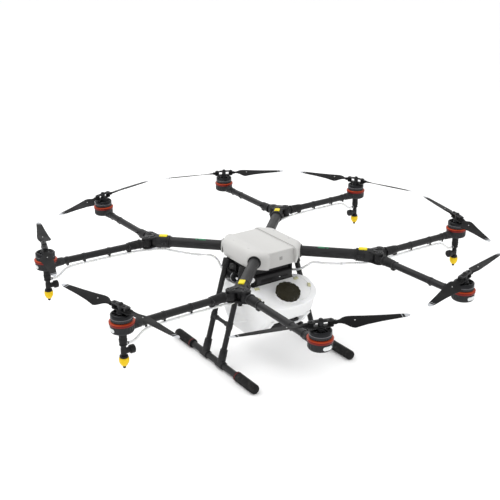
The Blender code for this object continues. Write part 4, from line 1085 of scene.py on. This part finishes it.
def ring_plate(outline, hole_c, hole_r, z0, z1, m, at, soft=0.0024, steps=4):
    """Flat plate with a round hole, rounded along its outer rim."""
    n = 96
    pts = [Vector(p) for p in outline]
    cx, cy = hole_c
    outer = []
    for i in range(n):
        a = 2 * math.pi * i / n
        d = Vector((math.cos(a), math.sin(a)))
        best = None
        for p, q in zip(pts, pts[1:] + pts[:1]):
            e = q - p
            den = d.x * e.y - d.y * e.x
            if abs(den) < 1e-12:
                continue
            w = Vector((p.x - cx, p.y - cy))
            t = (w.x * e.y - w.y * e.x) / den
            u = (w.x * d.y - w.y * d.x) / den
            if t > 0 and -1e-9 <= u <= 1 + 1e-9 and (best is None or t > best):
                best = t
        outer.append((d, best))
    rows = []
    rows.append([Vector((cx + d.x * hole_r, cy + d.y * hole_r, z0)) for d, r in outer])
    for i in range(steps + 1):
        a = math.pi / 2 * i / steps
        rows.append([Vector((cx + d.x * (r - soft * (1 - math.sin(a))), cy + d.y * (r - soft * (1 - math.sin(a))), z0 + soft * (1 - math.cos(a)))) for d, r in outer])
    for i in range(steps, -1, -1):
        a = math.pi / 2 * i / steps
        rows.append([Vector((cx + d.x * (r - soft * (1 - math.sin(a))), cy + d.y * (r - soft * (1 - math.sin(a))), z1 - soft * (1 - math.cos(a)))) for d, r in outer])
    rows.append([Vector((cx + d.x * hole_r, cy + d.y * hole_r, z1)) for d, r in outer])
    bm = b.bm
    made = [[bm.verts.new(p) for p in row] for row in rows]
    faces = []
    for r0, r1 in zip(made, made[1:] + made[:1]):
        for i in range(n):
            faces.append(bm.faces.new((r0[i], r0[(i + 1) % n], r1[(i + 1) % n], r1[i])))
    b.take([v for r in made for v in r], faces, m, at)


ring_plate(plan, (0.0, neck_t), 0.0362, -0.0105, 0.0004, TANK, deck)
rear_half = [(0.128, -0.088), (0.1245, -0.074), (0.117, -0.060), (0.104, -0.048), (0.090, -0.041)]
b.prism(rear_half + [(-x, y) for x, y in reversed(rear_half)], up(-0.1490), up(-0.1392), TANK, soft=0.0022, steps=3)
cheek = [(0.1275, -0.096), (0.1265, -0.086), (0.1235, -0.074), (0.1165, -0.061), (0.1055, -0.0505), (0.0940, -0.0455), (0.0888, -0.0450), (0.0888, -0.096)]
b.prism(cheek, up(-0.1480), up(-0.1262), TANK, soft=0.0022, steps=3)
b.prism([(-x, y) for x, y in cheek], up(-0.1480), up(-0.1262), TANK, soft=0.0022, steps=3)
nk = deck @ move(0, neck_t, 0)
b.spin([(0.0361, -0.0030), (0.0438, -0.0030), (0.0440, 0.0060), (0.0432, 0.0072), (0.0398, 0.0074), (0.0398, 0.0096), (0.0390, 0.0100), (0.0390, 0.0112), (0.0398, 0.0118), (0.0398, 0.0136), (0.0390, 0.0142), (0.0390, 0.0154), (0.0396, 0.0160), (0.0394, 0.0184), (0.0386, 0.0190), (0.0361, 0.0190)], TANK, nk, 72, hollow=True)
# shallow raised border on the deck, front to back
for s in (1, -1):
    path = [deck @ Vector((s * x, y, 0.0006)) for x, y in ((0.100, -0.004), (0.112, -0.022), (0.116, -0.050), (0.112, -0.072), (0.100, -0.090), (0.080, -0.106), (0.058, -0.116), (0.030, -0.122))]
    b.pipe(path, 0.0011, TANK, seg=10)
    # over-centre latches near the bay
    for x, y, a in ((0.086, -0.012, 0.15), (0.112, -0.060, 1.1)):
        at = deck @ move(s * x, y, 0) @ turn_z(s * a)
        b.box((-0.0095, -0.0065, -0.0004), (0.0095, 0.0065, 0.0030), LATCH, soft=0.0012, at=at)
        b.box((-0.0060, -0.0035, 0.0024), (0.0060, 0.0020, 0.0046), LATCH, soft=0.0009, at=at)
        b.rod((-0.0100, 0.0050, 0.0030), (0.0100, 0.0050, 0.0030), 0.0009, STEEL, seg=10, at=at)
# moulded ribs that rise towards the front on each side, a higher and a lower one
for s in (1, -1):
    def on_side(y, z):
        """A point just on the tank's side wall."""
        lo = max(r for r in TANK_ROWS if r[0] <= z)
        hi = min(r for r in TANK_ROWS if r[0] >= z)
        q = 0 if hi[0] == lo[0] else (z - lo[0]) / (hi[0] - lo[0])
        return Vector((s * (lo[1] + (hi[1] - lo[1]) * q + 0.0002), y, up(z)))

    rib = [on_side(y, z) for y, z in [(0.070 - 0.200 * t / 16, -0.312 + 0.094 * (t / 16) ** 1.35) for t in range(17)]]
    b.pipe(rib, lambda q: 0.0004 + 0.0020 * math.sin(math.pi * q), TANK, seg=12)
    rib = [on_side(y, z) for y, z in [(0.078 - 0.190 * t / 16, -0.268 + 0.060 * (t / 16) ** 1.6) for t in range(17)]]
    b.pipe(rib, lambda q: 0.0004 + 0.0011 * math.sin(math.pi * q), TANK, seg=12)
# outlet valve on the left side
b.rod((-0.1085, -0.033, up(-0.196)), (-0.1135, -0.033, up(-0.196)), 0.0150, TANK, seg=36, soft=0.0012)
b.rod((-0.1120, -0.033, up(-0.196)), (-0.1195, -0.033, up(-0.196)), 0.0110, NYLON_SATIN, seg=36, soft=0.0015)
b.box((-0.1240, -0.0375, up(-0.2060)), (-0.1190, -0.0285, up(-0.1860)), NYLON_SATIN, soft=0.0016)
b.rod((-0.1165, -0.033, up(-0.188)), (-0.1165, -0.018, up(-0.178)), 0.0040, NYLON_SATIN, seg=16)
# what stands in the recess under the front: pump block, filter bowl and pipe stubs
b.box((-0.064, -0.128, up(-0.2860)), (0.020, -0.100, up(-0.2440)), NYLON, soft=0.0040)
b.spin([(0, 0.0), (0.0135, 0.0), (0.0160, 0.0020), (0.0170, 0.0060), (0.0170, 0.0560), (0.0150, 0.0600), (0, 0.0600)], NYLON_SATIN, move(-0.056, -0.136, up(-0.262)) @ X_AXIS, 48, shape=ridged(16, 0.0012, 3, 4))
b.spin([(0, 0.0), (0.0130, 0.0), (0.0150, 0.0020), (0.0150, 0.0330), (0.0130, 0.0350), (0, 0.0350)], NYLON, move(0.016, -0.130, up(-0.258)) @ X_AXIS, 40)
b.rod((0.044, -0.150, up(-0.2520)), (0.044, -0.118, up(-0.2520)), 0.0100, NYLON_SATIN, seg=28)
b.box((0.020, -0.120, up(-0.2720)), (0.066, -0.098, up(-0.2410)), NYLON, soft=0.0030)
b.pipe([(0.050, -0.146, up(-0.2520)), (0.050, -0.160, up(-0.2510)), (0.040, -0.170, up(-0.2480)), (0.020, -0.172, up(-0.2470)), (-0.004, -0.165, up(-0.2480)), (-0.016, -0.152, up(-0.2500))], 0.0046, NYLON_SATIN, seg=14)
for s in (1, -1):
    b.prism([(-0.190, -0.2220), (-0.150, -0.2700), (-0.112, -0.2990), (-0.100, -0.2990), (-0.100, -0.2300)], 0.0715 if s > 0 else -0.0850, 0.0850 if s > 0 else -0.0715, TANK, soft=0.0020, at=Matrix(((0, 0, 1, 0), (1, 0, 0, 0), (0, 1, 0, Z_RING), (0, 0, 0, 1))))
put("tank_fittings", b.mesh("tank_fittings", 42), WORLD, "root")

# ---------------------------------------------------------------- filler cap
b = Build()
lobes, n_edge = 14, 168


def cap_row(z, r, depth):
    pts = []
    for i in range(n_edge):
        a = 2 * math.pi * i / n_edge
        w = 0.5 - 0.5 * math.cos(lobes * a)
        rr = r - depth * w**1.6
        pts.append(Vector((rr * math.cos(a), rr * math.sin(a), z)))
    return pts


rows = [cap_row(z, r, d) for z, r, d in (
    (0.0150, 0.0020, 0.0), (0.0150, 0.0400, 0.0), (0.0000, 0.0408, 0.0), (0.0000, 0.0436, 0.0020), (0.0008, 0.0444, 0.0022), (0.0150, 0.0449, 0.0026), (0.0180, 0.0444, 0.0025), (0.0196, 0.0432, 0.0021), (0.0203, 0.0412, 0.0012),
    (0.0204, 0.0380, 0.0), (0.0194, 0.0370, 0.0), (0.0192, 0.0330, 0.0), (0.0194, 0.0160, 0.0), (0.0202, 0.0150, 0.0), (0.0205, 0.0130, 0.0), (0.0205, 0.0020, 0.0))]
b.rings(rows, CAP)
for t in range(28):
    a = 2 * math.pi * t / 28
    b.box((0.0215, -0.0006, 0.0188), (0.0318, 0.0006, 0.0197), CAP, soft=0.0002, at=turn_z(a))
put("tank_cap_detailed", b.mesh("tank_cap_detailed", 42), deck @ move(0, neck_t, CAP_BASE), "tank_cap", ["tank_cap"])

# ---------------------------------------------------------------- pumps
for side, s in (("left", -1), ("right", 1)):
    b = Build()
    x, z = s * 0.1030, up(-0.1150)
    Y_AXIS = Matrix.Rotation(math.radians(-90), 4, "X")
    at = move(x, 0, z) @ Y_AXIS
    b.spin([(0, 0.0140), (0.0120, 0.0140), (0.0135, 0.0150), (0.0150, 0.0155), (0.0163, 0.0170), (0.0163, 0.0500), (0.0158, 0.0506), (0.0158, 0.0520), (0.0163, 0.0526), (0.0163, 0.0560), (0, 0.0560)], PLATE, at, 48)
    b.spin([(0.0150, 0.0230), (0.0164, 0.0230), (0.01655, 0.0236), (0.01655, 0.0264), (0.0164, 0.0270), (0.0150, 0.0270)], SILVER, at, 48, hollow=True)
    b.box((x - 0.0150, 0.0545, up(-0.1300)), (x + 0.0150, 0.0650, up(-0.1000)), NYLON, soft=0.0030)
    b.box((x - 0.0140, 0.0655, up(-0.1290)), (x + 0.0140, 0.0790, up(-0.1010)), NYLON_SATIN, soft=0.0035)
    for dx in (1, -1):
        for dz in (1, -1):
            b.screw((x + dx * 0.0105, 0.0788, z + dz * 0.0105), (0, 1, 0), 0.0020, STEEL)
    x0, x1 = sorted((x - s * 0.0150, x - s * 0.0060))
    b.box((x0, 0.024, up(-0.1080)), (x1, 0.046, up(-0.0684)), NYLON, soft=0.0014)
    for y0, y1 in ((0.0160, 0.0082), (0.0780, 0.0858)):
        b.rod((x, y0, z), (x, y1, z), 0.0048, NYLON_SATIN, seg=24)
    # power lead up to the frame
    b.pipe([(x, 0.018, up(-0.1020)), (x - s * 0.001, 0.006, up(-0.0990)), (x - s * 0.004, -0.004, up(-0.0900)), (x - s * 0.008, -0.006, up(-0.0780)), (x - s * 0.0085, -0.004, up(-0.0640))], 0.0016, BLACK_AND_RECESS_SHADE, seg=10)
    put(f"pump_{side}_detailed", b.mesh(f"pump_{side}_detailed"), WORLD, "root", [f"pump_{side}"])

# ---------------------------------------------------------------- legs and skids
for side, s in (("left", -1), ("right", 1)):
    b = Build()
    for fy in (1, -1):
        b.rod(leg_point(s, fy, 0.0041), leg_point(s, fy, 0.3484), 0.0100, CARBON_THIN, seg=36, soft=0.0004)
    t = (-0.262 - LEG_TOP.z) / leg_way.z
    m0, m1 = leg_point(s, -1, t), leg_point(s, 1, t)
    b.rod(m0, m1, 0.0070, CARBON_THIN, seg=28)
    for fy in (1, -1):
        a, e = leg_point(s, fy, t - 0.0135), leg_point(s, fy, t + 0.0135)
        b.pipe_wall(a, e, 0.0118, 0.0099, NYLON, seg=32, soft=0.0010)
        q = leg_point(s, fy, t)
        b.rod(q - Vector((0, fy * 0.006, 0)), q - Vector((0, fy * 0.0260, 0)), 0.0092, NYLON, seg=28, soft=0.0012)
    put(f"leg_frame_{side}_detailed", b.mesh(f"leg_frame_{side}_detailed"), WORLD, "root", [f"leg_frame_{side}"])

    b = Build()
    zc = up(SKID_Z)
    along = Matrix.Rotation(math.radians(-90), 4, "X")
    b.rod((s * 0.214, -0.2690, zc), (s * 0.214, 0.2490, zc), 0.0115, CARBON_THIN, seg=40)
    for fy in (1, -1):
        at = move(s * 0.214, 0, zc) @ (along if fy > 0 else Matrix.Rotation(math.radians(90), 4, "X"))

        o = 0.020 if fy < 0 else 0.0  # the front pads sit further out
        prof = [(0.0, 0.1370 + o), (0.0160, 0.1370 + o), (0.0170, 0.1378 + o), (0.0174, 0.1392 + o), (0.0174, 0.1500 + o), (0.0170, 0.1506 + o), (0.0170, 0.1518 + o), (0.0174, 0.1524 + o)]
        prof += [(0.0174, 0.2460 + o), (0.0168, 0.2505 + o), (0.0152, 0.2535 + o), (0.0125, 0.2549 + o), (0.0, 0.2550 + o)]
        b.spin(prof, RUBBER, at, 56)
        # band at the pad's inner end
        b.spin([(0.0150, 0.1420 + o), (0.01765, 0.1420 + o), (0.01785, 0.1426 + o), (0.01785, 0.1476 + o), (0.01765, 0.1482 + o), (0.0150, 0.1482 + o)], DARK_RED, at, 56, hollow=True)
        # ribs moulded along the pad's back half
        for t in range(7):
            y = 0.168 + o + t * 0.0115
            b.spin([(0.0150, y), (0.01752, y), (0.01768, y + 0.0008), (0.01752, y + 0.0016), (0.0150, y + 0.0016)], RUBBER, at, 56, hollow=True)
        # tee: sleeve on the skid tube and cuff up the leg
        y0 = fy * LEG_Y
        b.pipe_wall((s * 0.214, y0 - 0.0210, zc), (s * 0.214, y0 + 0.0210, zc), 0.0152, 0.0114, NYLON, seg=40, soft=0.0012)
        a = Vector((s * 0.2140, y0, zc)) - Vector((s * leg_way.x, 0, leg_way.z)) * 0.006
        e = Vector((s * 0.2140, y0, zc)) - Vector((s * leg_way.x, 0, leg_way.z)) * 0.0560
        d = (e - a).normalized()
        where = move(a) @ d.to_track_quat("Z", "Y").to_matrix().to_4x4()
        n = (e - a).length
        b.spin([(0.0104, n), (0.0130, n), (0.0137, n - 0.0008), (0.0139, n - 0.0065), (0.0132, n - 0.0072), (0.0132, n - 0.0084), (0.0140, n - 0.0092), (0.0150, 0.0), (0.0104, 0.0)], NYLON, where, 40, hollow=True)
        b.screw(a + d * 0.026 + Vector((s * 0.0136, 0, 0.0036)), (s * 0.96, 0, 0.27), 0.0026)
    # nothing reaches below the ground plane
    for v in b.bm.verts:
        if v.co.z < 0.0:
            v.co.z = 0.0
    put(f"skid_{side}_detailed", b.mesh(f"skid_{side}_detailed"), WORLD, "root", [f"skid_{side}"])

# ---------------------------------------------------------------- nozzles
NOZ_X = ARM_LEN
b = Build()
b.spin([(0, -0.0464), (0.0118, -0.0464), (0.0125, -0.0470), (0.0125, -0.0496), (0.0118, -0.0503), (0.0104, -0.0505), (0.0104, -0.0545), (0.0118, -0.0548), (0.0124, -0.0554), (0.0124, -0.0582), (0.0116, -0.0590), (0.0092, -0.0600), (0.0084, -0.0612), (0.0084, -0.0700), (0.0092, -0.0710), (0.0092, -0.0895), (0.0084, -0.0905), (0.0084, -0.0950), (0, -0.0950)], NOZZLE, None, 48)
b.spin([(0, -0.0925), (0.0118, -0.0925), (0.0128, -0.0932), (0.0132, -0.0945), (0.0132, -0.0990), (0.0120, -0.1002), (0, -0.1002)], NOZZLE, None, 48)
b.spin([(0, -0.0998), (0.0136, -0.0998), (0.0148, -0.1006), (0.0154, -0.1022), (0.0153, -0.1130), (0.0146, -0.1150), (0.0132, -0.1185), (0.0106, -0.1235), (0.0084, -0.1262), (0.0060, -0.1275), (0, -0.1275)], AMBER, None, 96, shape=ridged(12, 0.0010, 3, 4))
b.spin([(0, -0.1265), (0.0058, -0.1265), (0.0058, -0.1290), (0.0048, -0.1300), (0.0046, -0.1342), (0.0040, -0.1350), (0, -0.1350)], BLACK_AND_RECESS_SHADE, None, 28)
BACK = Matrix.Rotation(math.radians(-90), 4, "Y")
at = move(0, 0, -0.0800) @ BACK
b.spin([(0, 0.004), (0.0092, 0.004), (0.0092, 0.0190), (0.0100, 0.0196), (0.0100, 0.0215), (0, 0.0215)], NOZZLE, at, 32)
b.spin([(0, 0.0205), (0.0124, 0.0205), (0.0135, 0.0215), (0.0135, 0.0325), (0.0128, 0.0348), (0.0108, 0.0360), (0.0060, 0.0360), (0.0054, 0.0352), (0, 0.0352)], NOZZLE, at, 80, shape=ridged(20, 0.0008, 2, 3))
b.rod((-0.004, 0, -0.0565), (-0.0174, 0, -0.0565), 0.0044, NOZZLE, seg=22)
b.spin([(0.0040, 0.0100), (0.0052, 0.0100), (0.0056, 0.0110), (0.0056, 0.0135), (0.0040, 0.0140)], STEEL, move(0, 0, -0.0565) @ BACK, 28, hollow=True)
NOZ = b.mesh("nozzle_detailed")
for k in ARMS:
    if ARMS[k][5]:
        put(f"nozzle_{k}_detailed", NOZ, arm_frame(k) @ move(NOZ_X, 0, pz - NOZ_DROP), f"arm_{k}", [f"nozzle_{k}"])

# ---------------------------------------------------------------- hoses
HOSE_R = 0.0042


def smooth_path(points, step):
    out = []
    p = [points[0] * 2 - points[1]] + points + [points[-1] * 2 - points[-2]]
    for i in range(1, len(p) - 2):
        a, c0, c, d = p[i - 1], p[i], p[i + 1], p[i + 2]
        n = max(1, round((c - c0).length / step))
        for j in range(n):
            t = j / n
            out.append(0.5 * (2 * c0 + (c - a) * t + (2 * a - 5 * c0 + 4 * c - d) * t * t + (3 * c0 - 3 * c + d - a) * t * t * t))
    out.append(points[-1])
    return out


for k in ARMS:
    if not ARMS[k][5]:
        continue
    azim = ARMS[k][1]
    sx = -1 if azim in (135.0, 225.0) else 1
    rear = azim in (45.0, 135.0)
    route = [Vector((sx * 0.103, 0.0866 if rear else 0.0074, -0.1150))]
    if rear:
        route += [Vector((sx * 0.103, 0.0980, -0.1140)), Vector((sx * 0.106, 0.1120, -0.1000)), Vector((sx * 0.112, 0.1250, -0.0780))]
    else:
        route += [Vector((sx * 0.103, -0.0060, -0.1150)), Vector((sx * 0.103, -0.0550, -0.1080)), Vector((sx * 0.107, -0.0950, -0.0920)), Vector((sx * 0.116, -0.1200, -0.0740))]
    for r, z in ((0.190, -0.0600), (0.230, -0.0610), (0.280, -0.0590), (0.330, -0.0530), (0.372, -0.0487)):
        q = polar(r, azim)
        route.append(Vector((q.x, q.y, z)))
    fr = arm_frame(k)
    for x, y, z in ((0.004, 0.0, -0.0290), (0.030, 0.0, -0.0262), (0.075, 0.0, -0.0250), (0.150, 0.0, -0.0240), (0.240, 0.0, -0.0240), (0.292, 0.0, -0.0255), (0.318, 0.0, -0.0330), (0.338, 0.0, -0.0480), (0.352, 0.0, -0.0550)):
        q = fr @ Vector((x, y, z))
        route.append(Vector((q.x, q.y, q.z - Z_RING)))
    q = fr @ Vector((NOZ_X - 0.0180, 0, pz - 0.0565 - NOZ_DROP))
    route.append(Vector((q.x, q.y, q.z - Z_RING)))
    pts = smooth_path([Vector((v.x, v.y, up(v.z))) for v in route], 0.006)
    b = Build()
    b.pipe(pts, HOSE_R, HOSE, seg=18)
    me = b.mesh(f"hose_{k}_detailed", 60)
    o = bpy.data.objects.new(f"hose_{k}_detailed", me)
    bpy.context.scene.collection.objects.link(o)
    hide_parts(f"hose_{k}")
    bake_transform(o)

# ---------------------------------------------------------------- floor, light and camera
bpy.context.scene.view_settings.view_transform = "Standard"
bpy.context.scene.view_settings.look = "None"
bpy.context.scene.view_settings.exposure = 0.0
bpy.context.scene.view_settings.gamma = 1.0
bpy.ops.mesh.primitive_plane_add(size=80.0, location=(0, 0, 0))
floor = bpy.context.object
floor.name = "floor"
floor.data.materials.append(mat("floor_white", (0.975, 0.975, 0.975), 0.85, mottle=(0.8, 0.006), grain=(60, 0.01), spec=0.2))
world = bpy.data.worlds.new("studio")
bpy.context.scene.world = world
world.use_nodes = True
world.node_tree.nodes["Background"].inputs[0].default_value = (1.0, 1.0, 1.0, 1)
world.node_tree.nodes["Background"].inputs[1].default_value = 1.04


def area(name, where, target, size, power):
    light = bpy.data.lights.new(name, "AREA")
    light.energy, light.size = power, size
    o = bpy.data.objects.new(name, light)
    bpy.context.scene.collection.objects.link(o)
    o.location = where
    o.rotation_mode = "QUATERNION"
    o.rotation_quaternion = (Vector(target) - Vector(where)).to_track_quat("-Z", "Y")
    return o


area("key", (-1.2, 0.9, 3.2), (0, 0, 0.3), 2.0, 34.0)
area("fill", (2.6, -1.6, 2.2), (0, 0, 0.3), 2.0, 8.0)
area("back", (0.8, 2.6, 2.6), (0, 0, 0.3), 1.8, 12.0)

az, el, roll, dist = math.radians(-35.174), math.radians(21.055), math.radians(0.237), 3.0933
back = Vector((math.sin(az) * math.cos(el), -math.cos(az) * math.cos(el), math.sin(el)))
cam = bpy.data.objects.new("camera", bpy.data.cameras.new("camera"))
bpy.context.scene.collection.objects.link(cam)
cam.data.lens, cam.data.sensor_width = 61.49, 36.0
cam.data.shift_x, cam.data.shift_y = -0.0227, -0.0135
cam.location = Vector((0, 0, Z_RING)) + back * dist
cam.rotation_mode = "QUATERNION"
cam.rotation_quaternion = (-back).to_track_quat("-Z", "Y") @ Matrix.Rotation(roll, 4, "Z").to_quaternion()
cam.data.clip_start, cam.data.clip_end = 0.05, 200.0
bpy.context.scene.camera = cam
